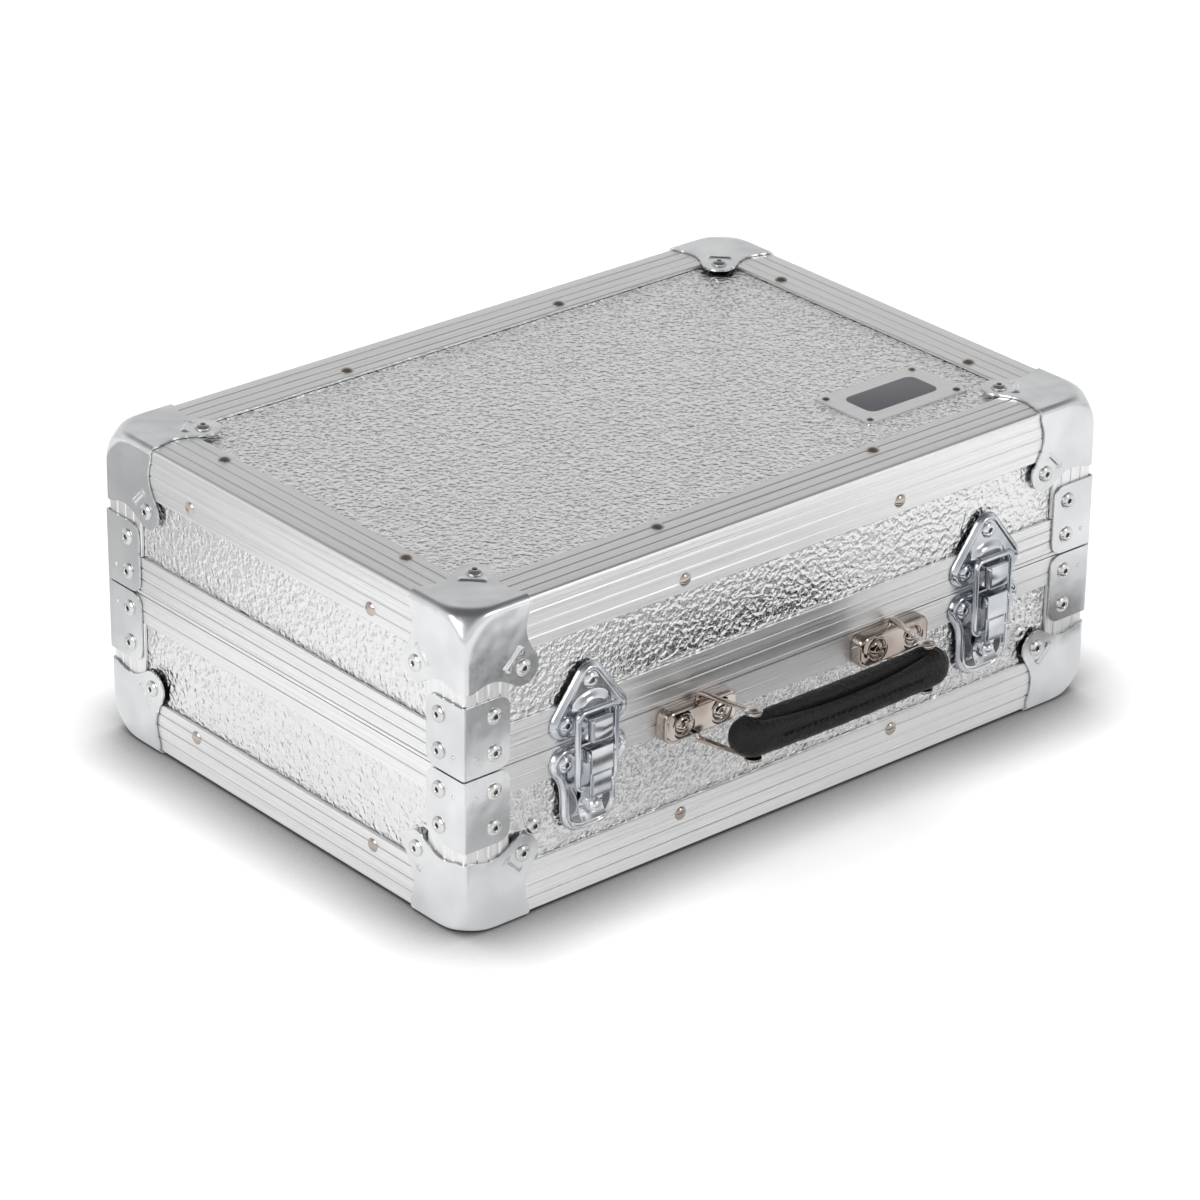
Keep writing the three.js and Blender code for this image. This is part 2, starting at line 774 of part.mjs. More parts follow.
function latchBasePlate() {
  const root = plateFloor - seat;
  const ear = [
    [root, -leverPivotDown - earRadius],
    ...arc(leverPivotOut, -leverPivotDown, earRadius, -right, right, 4),
    [root, -leverPivotDown + earRadius],
  ];
  const inside = leverWidth / 2 + fit;
  const body = join(
    dishedPlate(footOutline),
    sideways(ear, inside, inside + earThick),
    sideways(ear, -inside - earThick, -inside),
    rivet(footLobeX, -footLobeDown, plateFloor),
    rivet(-footLobeX, -footLobeDown, plateFloor),
  );
  const bore = leverPinRadius + fit;
  return cut(body, rod(bore, -leverWidth, leverWidth, -leverPivotDown, leverPivotOut, boreSides));
}

const scoopOut = leverFront - leverStep;

// The curved finger end of the lever: a sheet bent round an axis along x
function scoopSheet() {
  const inner = arc(scoopOut, -scoopDown, scoopRadius, scoopBackStart, scoopEnd, 7);
  const outer = arc(scoopOut, -scoopDown, scoopRadius + scoopWall, scoopEnd, scoopBackStart, 7);
  return sideways([...inner, ...outer], -scoopWidth / 2, scoopWidth / 2);
}

function latchLever() {
  const body = [
    [leverBack, -leverPivotDown],
    [leverPivotOut - leverHeel, -leverTop],
    [leverFront, -leverTop],
    [leverFront, -leverStepDown],
    [leverFront - leverStep, -leverStepDown],
    [leverFront - leverStep, -leverBodyDown],
    [leverBack, -leverBodyDown],
  ];
  const half = leverWidth / 2;
  const shaped = cut(
    sideways(body, -half, half),
    rod(scoopRadius, -scoopWidth, scoopWidth, -scoopDown, scoopOut, scoopSides),
    rod(leverPinRadius + fit, -leverWidth, leverWidth, -leverPivotDown, leverPivotOut, boreSides),
    rod(bailWire + fit, bailEndIn - fit, leverWidth, -bailPivotDown, bailPivotOut, boreSides),
    rod(bailWire + fit, -leverWidth, fit - bailEndIn, -bailPivotDown, bailPivotOut, boreSides),
  );
  const sheetBottom = scoopOut - scoopRadius - scoopWall / 2;
  const top = buttonRadius - seat;
  const button = post(buttonRadius, 0, -scoopDown, sheetBottom, buttonOut, buttonSides, top);
  return join(shaped, scoopSheet(), button);
}

function latchPin() {
  const reach = leverWidth / 2 + fit + earThick;
  const end = reach + 2 * fit;
  const [y, z] = [-leverPivotDown, leverPivotOut];
  return join(
    rod(leverPinRadius, -end, end, y, z, pinSides),
    rod(leverPinHead, reach + seat, end + seat, y, z, pinSides),
    rod(leverPinHead, -end - seat, -reach - seat, y, z, pinSides),
  );
}

// A route of straight runs with round corners
function routed(points, radius, steps) {
  return points.flatMap(([x, y], i) => {
    if (i === 0 || i === points.length - 1) return [[x, y]];
    const here = new THREE.Vector2(x, y);
    const before = new THREE.Vector2(...points[i - 1]).sub(here).normalize().multiplyScalar(radius);
    const after = new THREE.Vector2(...points[i + 1]).sub(here).normalize().multiplyScalar(radius);
    return cornerArc(here.clone().add(before).add(after), before, after, steps);
  });
}

// A quarter turn from the run before a corner to the run after it
function cornerArc(centre, before, after, steps) {
  return Array.from({ length: steps + 1 }, (_, i) => {
    const angle = (right * i) / steps;
    const point = centre
      .clone()
      .addScaledVector(after, -Math.cos(angle))
      .addScaledVector(before, -Math.sin(angle));
    return [point.x, point.y];
  });
}

function latchBail() {
  const top = hookTop + bailWire + fit;
  const ends = [
    [bailEndIn, -bailPivotDown],
    [bailHalfWidth, -bailPivotDown],
    [bailHalfWidth, top],
  ];
  return wire(routed([...ends, ...mirrorX(ends)], bailCorner, 4), bailWire, bailSides, bailPivotOut);
}

for (const [side, sx] of [["left", -1], ["right", 1]]) {
  const latch = new THREE.Group();
  latch.position.x = (sx * latchSpacing) / 2;
  front.add(latch);
  add(latch, "latch_catch_plate_" + side, catchPlate(), zinc());
  add(latch, "latch_base_plate_" + side, latchBasePlate(), zinc());
  add(latch, "latch_lever_" + side, latchLever(), zinc());
  add(latch, "latch_pin_" + side, latchPin(), zinc());
  add(latch, "latch_bail_" + side, latchBail(), zinc());
}

// The pressed housing that holds a link's bar: hollow behind, two dimples for its rivets
function handleBracket() {
  const [halfX, halfY] = [bracketLength / 2, bracketHeight / 2];
  const outline = (inset, z) =>
    roundedRectangle(halfX, halfY, bracketCorner, inset, 3).map(([x, y]) => [x, y, z]);
  const outside = lofted([
    outline(0, seat),
    outline(0, bracketDepth - bracketBevel),
    outline(bracketBevel, bracketDepth),
  ]);
  const hollow = lofted([outline(bracketWall, -overrun), outline(bracketWall, bracketDepth - bracketWall)]);
  const notch = bracketNotch / 2;
  const slotTop = linkAxisOut + linkWire + seat;
  const slot = box(-notch, notch, -bracketHeight, bracketHeight, -overrun, slotTop);
  const holder = dimpleRadius + bracketWall / 2;
  const spots = [-bracketRivets / 2, bracketRivets / 2];
  const posts = spots.map((x) => post(holder, x, 0, seat, bracketDepth - bracketWall / 2, dimpleSides));
  const dimples = spots.map((x) =>
    post(dimpleRadius - dimpleTaper, x, 0, dimpleFloor, bracketDepth + seat, dimpleSides, dimpleRadius),
  );
  const body = cut(join(cut(outside, hollow, slot), ...posts), ...dimples);
  return join(body, ...spots.map((x) => rivet(x, 0, dimpleFloor)));
}

const linkLength = Math.hypot(linkReach, toeIn);
const toeAngle = Math.atan2(toeIn, linkReach);

// A wire stirrup: its bar stands in the bracket, its two arms end in eyes above and below the grip
function handleLink(side) {
  const route = [
    [linkLength - eyeRadius, linkHalfHeight],
    [0, linkHalfHeight],
    [0, -linkHalfHeight],
    [linkLength - eyeRadius, -linkHalfHeight],
  ];
  const toFace = (geometry) => geometry.rotateY(-right);
  const stirrup = toFace(wire(routed(route, linkCorner, 3), linkWire, linkSides, 0));
  const ends = [-1, 1].flatMap((sign) => {
    const y = sign * linkHalfHeight;
    const disc = new THREE.CylinderGeometry(eyeRadius, eyeRadius, eyeThick, eyeSides);
    const eye = disc.translate(0, y, linkLength);
    const thick = eyeThick / 2;
    const neck = box(-linkWire, linkWire, y - thick, y + thick, linkLength - 2 * eyeRadius, linkLength);
    const rise = sign * (thick + eyeRivetHeight / 2);
    const head = new THREE.CylinderGeometry(eyeRivetRadius, eyeRivetRadius, eyeRivetHeight, pinSides);
    return [eye, neck, head.translate(0, y + rise, linkLength)];
  });
  const pin = new THREE.CylinderGeometry(gripPinRadius, gripPinRadius, 2 * linkHalfHeight, pinSides);
  const body = join(stirrup, ...ends, pin.translate(0, 0, linkLength));
  return body.rotateY(-side * toeAngle).translate((side * bracketSpacing) / 2, 0, linkAxisOut);
}

// The padded grip: a rounded bar, slightly bowed, with a fold along its top and one along its front
function handleGrip() {
  const half = gripLength / 2;
  const pinX = gripPinSpacing / 2;
  const rows = gripStationShares.map((share) => {
    const x = share * half;
    const past = Math.max(Math.abs(x) - (half - gripRound), 0) / gripRound;
    const full = Math.sqrt(1 - (gripEndShare * past) ** 2);
    const middle = gripPinOut + gripBow * (1 - (x / pinX) ** 2);
    return gripSection(full).map(([y, z]) => [x, y, middle + z]);
  });
  const across = Math.max(gripHeight, gripDepth);
  const bore = gripPinRadius + fit + seat;
  const drill = new THREE.CylinderGeometry(bore, bore, 2 * across, boreSides);
  const hole = (x) => drill.clone().translate(x, 0, gripPinOut);
  const slot = box(pinX, pinX + gripSlot, -across, across, gripPinOut - bore, gripPinOut + bore);
  return cut(lofted(rows), hole(-pinX), hole(pinX), hole(pinX + gripSlot), slot);
}

function gripSection(full) {
  return Array.from({ length: gripSides }, (_, k) => {
    const angle = (4 * right * k) / gripSides;
    const power = 2 / gripSquareness;
    const fold = gripGrooveAngles.reduce((sum, groove) => {
      const away = Math.atan2(Math.sin(angle - groove), Math.cos(angle - groove));
      return sum + Math.exp(-((away / gripGrooveWidth) ** 2));
    }, 0);
    const drawn = full * (1 - ((2 * gripGrooveDepth) / gripDepth) * fold * full);
    const bulge = (value) => Math.sign(value) * Math.abs(value) ** power;
    return [(bulge(Math.sin(angle)) * drawn * gripHeight) / 2, (bulge(Math.cos(angle)) * drawn * gripDepth) / 2];
  });
}

const handle = new THREE.Group();
handle.position.y = handleUp - parting;
front.add(handle);
for (const [side, sx] of [["left", -1], ["right", 1]]) {
  const bracket = add(handle, "handle_bracket_" + side, handleBracket(), nickel());
  bracket.position.x = (sx * bracketSpacing) / 2;
  add(handle, "handle_link_" + side, handleLink(sx), nickel());
}
const grip = handleGrip();
add(handle, "handle_grip", grip, leather());

const knuckleClear = knuckleRadius + fit;

// A hinge leaf that hangs down from the pin; its knuckles stand at the given spans of x
function hingeLeaf(spans) {
  const half = (leafHeight - knuckleClear) / 2;
  const outline = roundedRectangle(leafWidth / 2, half, leafCorner, 0, 3);
  const leaf = plate(outline, seat, seat + leafWall).translate(0, -knuckleClear - half, 0);
  const root = [
    [seat, -knuckleClear - leafCorner],
    [seat, 0],
    ...arc(hingeOut, 0, knuckleRadius, 2 * right, 3 * right, 3),
    [seat + leafWall, -knuckleClear - leafCorner],
  ];
  const tabs = spans.map(([x0, x1]) => sideways(root, x0, x1));
  const knuckles = spans.map(([x0, x1]) => rod(knuckleRadius, x0, x1, 0, hingeOut, knuckleSides));
  const rivets = [-leafRivetX, leafRivetX].flatMap((x) => leafRivetUps.map((up) => rivet(x, -up, seat + leafWall)));
  const bore = rod(hingePinRadius + fit, -leafWidth, leafWidth, 0, hingeOut, knuckleSides);
  return cut(join(leaf, ...tabs, ...knuckles, ...rivets), bore);
}

function hingePin() {
  const end = leafWidth / 2 + seat;
  const head = (x0) => rod(hingePinHead, x0, x0 + hingePinHeadThick, 0, hingeOut, pinSides);
  const shaft = rod(hingePinRadius, -end - seat, end + seat, 0, hingeOut, pinSides);
  return join(shaft, head(end), head(-end - hingePinHeadThick));
}

for (const [side, sx] of [["left", 1], ["right", -1]]) {
  const hinge = new THREE.Group();
  hinge.position.x = (sx * hingeSpacing) / 2;
  back.add(hinge);
  const inside = middleKnuckle / 2;
  const outside = inside + fit;
  const ends = [[-leafWidth / 2, -outside], [outside, leafWidth / 2]];
  add(hinge, "hinge_leaf_base_" + side, hingeLeaf(ends), zinc());
  const lidLeaf = moved(hingeLeaf([[-inside, inside]]), scaling(1, -1, 1));
  add(hinge, "hinge_leaf_lid_" + side, lidLeaf, zinc());
  add(hinge, "hinge_pin_" + side, hingePin(), zinc());
}

// The origin lies under the middle of the whole, from the grip's face to the hinges' knuckles
grip.computeBoundingBox();
const frontReach = grip.boundingBox.max.z;
const backReach = hingeOut + knuckleRadius;
caseGroup.position.set(0, (frontReach - backReach) / 2, sheetProud);

export default caseGroup;
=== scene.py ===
# %% [markdown]
# # A hard carrying case
# A small flight case lies flat on a white table. It is plywood faced with embossed aluminium
# foil, edged with grooved aluminium profiles and held together by zinc-plated steel corners,
# braces, latches and rivets. A padded leather handle folds against its front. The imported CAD
# model is the fixed frame, and its hardware is swapped for finer surfaces worked out with numpy.

import bmesh
import bpy
import numpy as np
from mathutils import Euler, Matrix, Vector


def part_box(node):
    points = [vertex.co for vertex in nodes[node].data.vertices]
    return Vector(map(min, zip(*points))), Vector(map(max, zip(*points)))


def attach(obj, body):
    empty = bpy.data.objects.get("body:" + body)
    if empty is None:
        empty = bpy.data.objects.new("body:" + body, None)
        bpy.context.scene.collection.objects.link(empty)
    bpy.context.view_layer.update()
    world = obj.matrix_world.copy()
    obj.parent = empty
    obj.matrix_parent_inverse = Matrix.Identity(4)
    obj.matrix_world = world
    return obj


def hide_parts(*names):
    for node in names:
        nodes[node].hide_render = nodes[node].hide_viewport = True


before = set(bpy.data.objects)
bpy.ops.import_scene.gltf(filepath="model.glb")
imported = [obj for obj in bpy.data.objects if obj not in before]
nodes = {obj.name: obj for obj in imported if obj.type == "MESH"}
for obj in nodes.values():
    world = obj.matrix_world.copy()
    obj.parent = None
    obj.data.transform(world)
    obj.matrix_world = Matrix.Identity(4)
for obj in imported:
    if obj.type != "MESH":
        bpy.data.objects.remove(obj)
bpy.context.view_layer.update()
MM = 0.001

# %% [markdown]
# ## The places that everything is measured from
# The skin is the outer face of the aluminium profiles. Its six planes and the parting line
# between base and lid are enough to place every piece.

# %% Planes of the skin, in millimetres
LEFT, RIGHT = -185.0, 185.0
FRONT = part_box("base_edge_profile_front")[0].y / MM
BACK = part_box("base_edge_profile_back")[1].y / MM
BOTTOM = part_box("base_edge_profile_front")[0].z / MM
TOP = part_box("lid_edge_profile_front")[1].z / MM
PARTING = (BOTTOM + TOP) / 2
MIDDLE = (FRONT + BACK) / 2
DEPTH = 75.0
SHELLS = (("base", BOTTOM, 1), ("lid", TOP, -1))
print("skin planes:", FRONT, BACK, BOTTOM, TOP)

# %% [markdown]
# ## The camera
# The photograph was taken with a long lens from the left front, well above the case. The place
# and the turn were solved from the straight edges of the case.

# %% Camera
camera_data = bpy.data.cameras.new("camera")
camera_data.sensor_width = 36
camera_data.lens = 146.11
camera_data.clip_end = 50
camera = bpy.data.objects.new("camera", camera_data)
camera.location = (-1.31304, -1.50588, 1.03910)
camera.rotation_euler = Euler(np.radians([63.9441, -0.6092, -40.4171]))
bpy.context.scene.collection.objects.link(camera)
bpy.context.scene.camera = camera
bpy.context.scene.view_settings.view_transform = "Standard"

# %% [markdown]
# ## Colour and node helpers
# Every colour is written as an sRGB hex value and turned to linear light once. One function adds
# any node with its settings, values and links. The short ones after it add the nodes that come
# back in most materials and hand over their outlet.


# %% Colour and nodes
def linear(hex_value):
    """sRGB to linear light: a straight piece near black, a power of 2.4 above it."""
    channels = np.array([int(hex_value[i : i + 2], 16) for i in (1, 3, 5)]) / 255
    curve = np.where(channels <= 0.04045, channels / 12.92, ((channels + 0.055) / 1.055) ** 2.4)
    return (*curve.tolist(), 1.0)


def adjust(thing, **settings):
    """Sets several properties at once."""
    for name, value in settings.items():
        setattr(thing, name, value)
    return thing


def add_node(tree, kind, inputs=None, **settings):
    """Adds a node, sets its properties, then fills or links its inputs."""
    made = adjust(tree.nodes.new("ShaderNode" + kind), **settings)
    for name, value in (inputs or {}).items():
        if isinstance(value, bpy.types.NodeSocket):
            tree.links.new(value, made.inputs[name])
        else:
            made.inputs[name].default_value = value
    return made


def maths(tree, operation, *values, kind="Math"):
    """One operation on two or three numbers, or on vectors."""
    return add_node(tree, kind, dict(enumerate(values)), operation=operation).outputs[0]


def tones(tree, factor, *stops):
    """A colour ramp through pairs of place and colour."""
    ramp = add_node(tree, "ValToRGB", {"Fac": factor})
    elements = ramp.color_ramp.elements
    for element, (place, tone) in zip(elements, (stops[0], stops[-1])):
        adjust(element, position=place, color=linear(tone))
    for place, tone in stops[1:-1]:
        elements.new(place).color = linear(tone)
    return ramp.outputs["Color"]


def spread(tree, value, low, high, to_low, to_high):
    """A value between low and high, stretched to lie between two others."""
    names = ("Value", "From Min", "From Max", "To Min", "To Max")
    return add_node(tree, "MapRange", dict(zip(names, (value, low, high, to_low, to_high)))).outputs[0]


def noise(tree, place, size_mm, detail):
    """A cloudy pattern whose features are size_mm across."""
    inputs = {"Vector": place, "Scale": per_metre(size_mm), "Detail": detail}
    return add_node(tree, "TexNoise", inputs).outputs


def cells(tree, place, size_mm, **inputs):
    """How far it is to the nearest of many scattered points, size_mm apart."""
    inputs = {"Vector": place, "Scale": per_metre(size_mm), **inputs}
    feature = "SMOOTH_F1" if "Smoothness" in inputs else "F1"
    return add_node(tree, "TexVoronoi", inputs, feature=feature).outputs["Distance"]


def relief(tree, height, metres, strength=1.0):
    """Bumps as high as some metres, from a height that runs from 0 to 1."""
    return add_node(tree, "Bump", {"Height": height, "Distance": metres, "Strength": strength}).outputs[0]


def start_material(name):
    """An empty material with its node tree and the object's own coordinates, in metres."""
    material = bpy.data.materials.new(name)
    material.use_nodes = True
    tree = material.node_tree
    tree.nodes.clear()
    place = add_node(tree, "TexCoord").outputs["Object"]
    return material, tree, place


def finish_material(tree, **inputs):
    """The last node: one principled surface."""
    names = {key.replace("_", " "): value for key, value in inputs.items()}
    surface = add_node(tree, "BsdfPrincipled", names)
    add_node(tree, "OutputMaterial", {"Surface": surface.outputs[0]})


def per_metre(size_mm):
    """Texture scale of a pattern whose features are size_mm across."""
    return 1 / (size_mm * MM)


def put(name, data):
    """A new object, linked to the scene."""
    made = bpy.data.objects.new(name, data)
    bpy.context.scene.collection.objects.link(made)
    return made


# %% [markdown]
# ## The table and the light
# A studio shot on white: the table is a pale plane without an edge. Its paper glows a little
# towards the camera and the metal, which keeps the background white without more light on the
# case. Near the case the paper's colour and glow are darkened by ambient occlusion, a painted
# contact shadow that is strong for the camera and faint in the metal's reflections. Metal only
# looks like metal in a room with bright and dark parts, so the world is bright low down, grey
# halfway up and dark overhead.

# %% Table
GLOW, CAMERA_GLOW = 0.2, 0.13
CONTACT_REACH, CONTACT_SEEN, CONTACT_REFLECTED = 0.045, 2.0, 0.2

table_mesh = bpy.data.meshes.new("table")
table_mesh.from_pydata([(-6, -6, 0), (6, -6, 0), (6, 6, 0), (-6, 6, 0)], [], [(0, 1, 2, 3)])
table = put("table", table_mesh)
paper, tree, place = start_material("white paper backdrop")
rays = add_node(tree, "LightPath").outputs
by_camera = rays["Is Camera Ray"]
seen = maths(tree, "MAXIMUM", by_camera, rays["Is Glossy Ray"])
seen = maths(tree, "MAXIMUM", seen, rays["Is Transmission Ray"])
glow = maths(tree, "MULTIPLY_ADD", by_camera, CAMERA_GLOW, maths(tree, "MULTIPLY", seen, GLOW))
# painted contact shadow: near the case the paper's colour and glow are multiplied by ambient occlusion to
# the power 2.0 for the camera and 0.2 in reflections
open_sky = add_node(tree, "AmbientOcclusion", {"Distance": CONTACT_REACH}, samples=8).outputs["AO"]
more = CONTACT_SEEN - CONTACT_REFLECTED
painted_contact_shadow = maths(tree, "POWER", open_sky, maths(tree, "MULTIPLY_ADD", by_camera, more, CONTACT_REFLECTED))
finish_material(
    tree,
    Base_Color=maths(tree, "MULTIPLY", linear("#f6f6f6")[:3], painted_contact_shadow, kind="VectorMath"),
    Roughness=0.9,
    Emission_Color=linear("#ffffff"),
    Emission_Strength=maths(tree, "MULTIPLY", glow, painted_contact_shadow),
)
table_mesh.materials.append(paper)
print("table:", tuple(table.dimensions))

# %% World: bright low down, grey halfway up, dark overhead
world = bpy.data.worlds.new("studio")
bpy.context.scene.world = world
world.use_nodes = True
tree = world.node_tree
tree.nodes.clear()
direction = add_node(tree, "TexCoord").outputs["Generated"]
height = add_node(tree, "SeparateXYZ", {"Vector": direction}).outputs["Z"]
rising = (0.25, "#f2f2f2"), (0.43, "#e0e0e0"), (0.58, "#bababa"), (0.8, "#7a7a7c"), (1, "#6c6c6e")
background = add_node(tree, "Background", {"Color": tones(tree, height, *rising), "Strength": 1.0})
add_node(tree, "OutputWorld", {"Surface": background.outputs[0]})


# %% Soft boxes
def soft_box(name, place, width, depth, power):
    """An area lamp at a place, turned so that its -Z axis looks at the case."""
    lamp = bpy.data.lights.new(name, "AREA")
    adjust(lamp, shape="RECTANGLE", size=width, size_y=depth, energy=power)
    look = Vector((0, 0, 0.05)) - Vector(place)
    return adjust(put(name, lamp), location=place, rotation_euler=look.to_track_quat("-Z", "Y").to_euler())


soft_box("left box", (-2.2, -0.4, 1.3), 1.6, 1.2, 20)
soft_box("top box", (0.2, 0.7, 2.4), 1.8, 1.4, 24).visible_glossy = False
soft_box("front box", (0.9, -2.2, 1.2), 0.7, 1.0, 7)
soft_box("fill box", (0.2, -2.2, 1.4), 1.6, 1.2, 14).visible_glossy = False

# %% [markdown]
# ## Grey cards
# Three cards lie on the table and only the metal sees them, in its reflections. The far one
# turns the middle of the lid's front dark, the near one does the same below it, and the side one
# greys the left side. Each card is black and glows with its own grey, lit by no lamp, so what it
# shows in the metal is a painted reflection. The grey changes along its length, so that its
# reflection fades out instead of ending at an edge.


# %% Grey cards on the table, seen by glossy rays alone
CARD_LIFT = 0.001


def painted_reflection_card(name, low, high, axis, *stops):
    """A flat black card between two corners that glows with a grey changing along an axis from low to high:
    a painted reflection.
    """
    corners = [(low[0], low[1]), (high[0], low[1]), (high[0], high[1]), (low[0], high[1])]
    sheet = bpy.data.meshes.new(name)
    sheet.from_pydata([(x, y, CARD_LIFT) for x, y in corners], [], [(0, 1, 2, 3)])
    card = put(name, sheet)
    for ray in ("camera", "diffuse", "shadow", "transmission"):
        setattr(card, "visible_" + ray, False)
    grey, tree, place = start_material(name)
    at = "XY".index(axis)
    across = add_node(tree, "SeparateXYZ", {"Vector": place}).outputs[axis]
    along = spread(tree, across, low[at], high[at], 0.0, 1.0)
    # painted reflection: the card's grey is its own glow, seen by glossy rays alone
    finish_material(
        tree,
        Base_Color=linear("#000000"),
        Specular_IOR_Level=0.0,
        Emission_Color=tones(tree, along, *stops),
        Emission_Strength=1.0,
    )
    sheet.materials.append(grey)


far_stops = (0, "#f4f4f4"), (0.36, "#b0b0b0"), (0.49, "#585858"), (0.78, "#4a4a4a"), (0.9, "#ffffff")
near_stops = (0, "#f4f4f4"), (0.3, "#5c5c5c"), (0.85, "#484848"), (1, "#ffffff")
side_stops = (0, "#ffffff"), (0.3, "#d0d0d0"), (1, "#c0c0c0")
painted_reflection_card("far card", (-0.3, -0.325), (0.3, -0.243), "X", *far_stops)
painted_reflection_card("near card", (-0.2, -0.2), (0.3, -0.158), "X", *near_stops)
painted_reflection_card("side card", (-0.55, 0.2), (-0.2, 0.5), "Y", *side_stops)

# %% [markdown]
# ## Foil-faced plywood
# The panels are plywood with an aluminium foil, embossed between rollers into a stucco of rounded
# bumps some 2.6 mm apart, each with its own glint. They are too many and too low to model, so
# they are a bump pattern: cells pushed about by a slower noise, with a finer grit on them.

# %% Embossed aluminium foil
STUCCO, SWIRL, GRIT = 2.6, 4.5, 1.1
PUSH, EMBOSSED = 0.0045, 0.00062

foil, tree, place = start_material("stucco-embossed aluminium foil")
swirl = noise(tree, place, SWIRL, 1.0)["Color"]
centred = maths(tree, "SUBTRACT", swirl, (0.5, 0.5, 0.5), kind="VectorMath")
pushed = maths(tree, "MULTIPLY", centred, (PUSH, PUSH, PUSH), kind="VectorMath")
bent = maths(tree, "ADD", place, pushed, kind="VectorMath")
bumps = cells(tree, bent, STUCCO, Smoothness=0.6)
hammered = maths(tree, "MULTIPLY_ADD", noise(tree, place, GRIT, 2.0)[0], 0.4, bumps)
finish_material(
    tree,
    Base_Color=linear("#e4e4e4"),
    Metallic=1.0,
    Roughness=0.18,
    Normal=relief(tree, hammered, EMBOSSED),
)

# %% [markdown]
# ## Extruded aluminium
# The profiles come out of the die with fine lines along their length and are left bright. The
# lines are a noise that is stretched some 170 times along the profile, so there is one material
# for each direction that a profile runs in.


# %% Extruded aluminium, with its die lines along one axis
def extruded_aluminium(name, scales):
    """Noise squeezed by a mapping: a small scale along the profile, a large one across it."""
    material, tree, place = start_material(name)
    stretched = add_node(tree, "Mapping", {"Vector": place, "Scale": scales}).outputs[0]
    lines = add_node(tree, "TexNoise", {"Vector": stretched, "Scale": 1.0, "Detail": 3.0}).outputs[0]
    finish_material(
        tree,
        Base_Color=tones(tree, lines, (0.3, "#dedede"), (0.7, "#eeeeee")),
        Metallic=1.0,
        Roughness=spread(tree, lines, 0.3, 0.7, 0.27, 0.4),
        Normal=relief(tree, lines, 0.00016),
    )
    return material


DIE_LINE, DRAWN = per_metre(0.7), per_metre(120)
aluminium = {}
for axes, way in (("x", "along x"), ("y", "along y"), ("z", "along z"), ("xy", "round the rim")):
    scales = [DRAWN if axis in axes else DIE_LINE for axis in "xyz"]
    aluminium[axes] = extruded_aluminium("extruded aluminium " + way, scales)

# %% [markdown]
# ## Plated steel
# The corners and braces are pressed steel with a bright zinc coat. The sheet is never quite
# flat, so its reflections wander. The latches are smoother, and their passivated zinc is faintly
# blue. The handle's fittings and the domes are nickel-plated, which is smoother still and warmer.


# %% Zinc and nickel plate
def plated_steel(name, pale, deep, roughness, waviness):
    """A metal whose colour drifts between two tints over 25 mm, with a wavy sheet 14 mm across."""
    material, tree, place = start_material(name)
    drift = noise(tree, place, 25, 2.0)[0]
    sheet = noise(tree, place, 14, 1.0)[0]
    scuffs = noise(tree, place, 1.5, 3.0)[0]
    finish_material(
        tree,
        Base_Color=tones(tree, drift, (0.35, deep), (0.65, pale)),
        Metallic=1.0,
        Roughness=spread(tree, scuffs, 0.0, 1.0, roughness * 0.75, roughness * 1.3),
        Normal=relief(tree, sheet, waviness, 0.6),
    )
    return material


zinc = plated_steel("bright zinc-plated steel", "#e0e1e2", "#d0d2d4", 0.2, 0.0005)
nickel = plated_steel("nickel-plated steel", "#cbc3bd", "#a0948b", 0.06, 0.0009)
blue_zinc = plated_steel("blue zinc-plated steel", "#d9dbde", "#a8adb4", 0.15, 0.00012)
# the mandrel tints are darker than bare steel: partly the broken end's own dull steel, partly painted shade
# of the rivet's hole
mandrel_steel_and_hole_shade = plated_steel("rivet mandrel steel with painted hole shade", "#6c6a68", "#4a4846", 0.3, 0.0001)
rivet_zinc = plated_steel("zinc-plated rivet", "#dcdcda", "#cccccc", 0.2, 0.0001)

# %% [markdown]
# ## Leather and foam
# The grip is thin black cowhide over padding: a pebbled grain about 1 mm across with coarser
# creases in it, and a soft polish where hands have rubbed the tops of the pebbles. The inside
# is lined with charcoal polyether foam, whose open cells are about 1.5 mm across.

# %% Black leather
leather, tree, place = start_material("black pebbled leather")
pebbles = cells(tree, place, 1.0, Smoothness=0.35)
grain = maths(tree, "MULTIPLY_ADD", noise(tree, place, 2.2, 4.0)[0], 1.4, pebbles)
finish_material(
    tree,
    Base_Color=tones(tree, grain, (0.5, "#0d0d0d"), (1, "#1a1a1a")),
    Specular_IOR_Level=0.22,
    Roughness=spread(tree, grain, 0.6, 1.3, 0.38, 0.55),
    Normal=relief(tree, grain, 0.0004, 0.9),
)
thread, tree, place = start_material("waxed black thread")
finish_material(tree, Base_Color=linear("#141414"), Roughness=0.6)

# %% Charcoal foam
foam, tree, place = start_material("charcoal polyether foam")
pores = cells(tree, place, 1.5)
finish_material(
    tree,
    Base_Color=tones(tree, pores, (0, "#3b3e41"), (1, "#26282a")),
    Roughness=0.95,
    Normal=relief(tree, pores, 0.0006, 0.6),
)
print("materials:", len(bpy.data.materials))

# %% [markdown]
# ## Finishes on the CAD nodes that stay
# The trays and the closing frames keep their CAD shapes, which are right as they are: flat
# panels and a grooved extrusion that is mitred round the rim.


# %% Give each kept node its finish
def coat(node, material):
    """The CAD mesh stays and gets one material."""
    nodes[node].data.materials.clear()
    nodes[node].data.materials.append(material)


for shell in ("base", "lid"):
    coat(shell + "_tray", foil)
    coat(shell + "_closing_frame", aluminium["xy"])
    print("finished:", shell + "_tray", shell + "_closing_frame")

# %% [markdown]
# ## How the new pieces are made
# Every piece is a grid of points worked out as one array: a section carried along a line, a
# ring of outlines, or a height over a flat plate. A part is a pair of points and faces, so parts
# can be joined, turned and mirrored before they become a mesh.


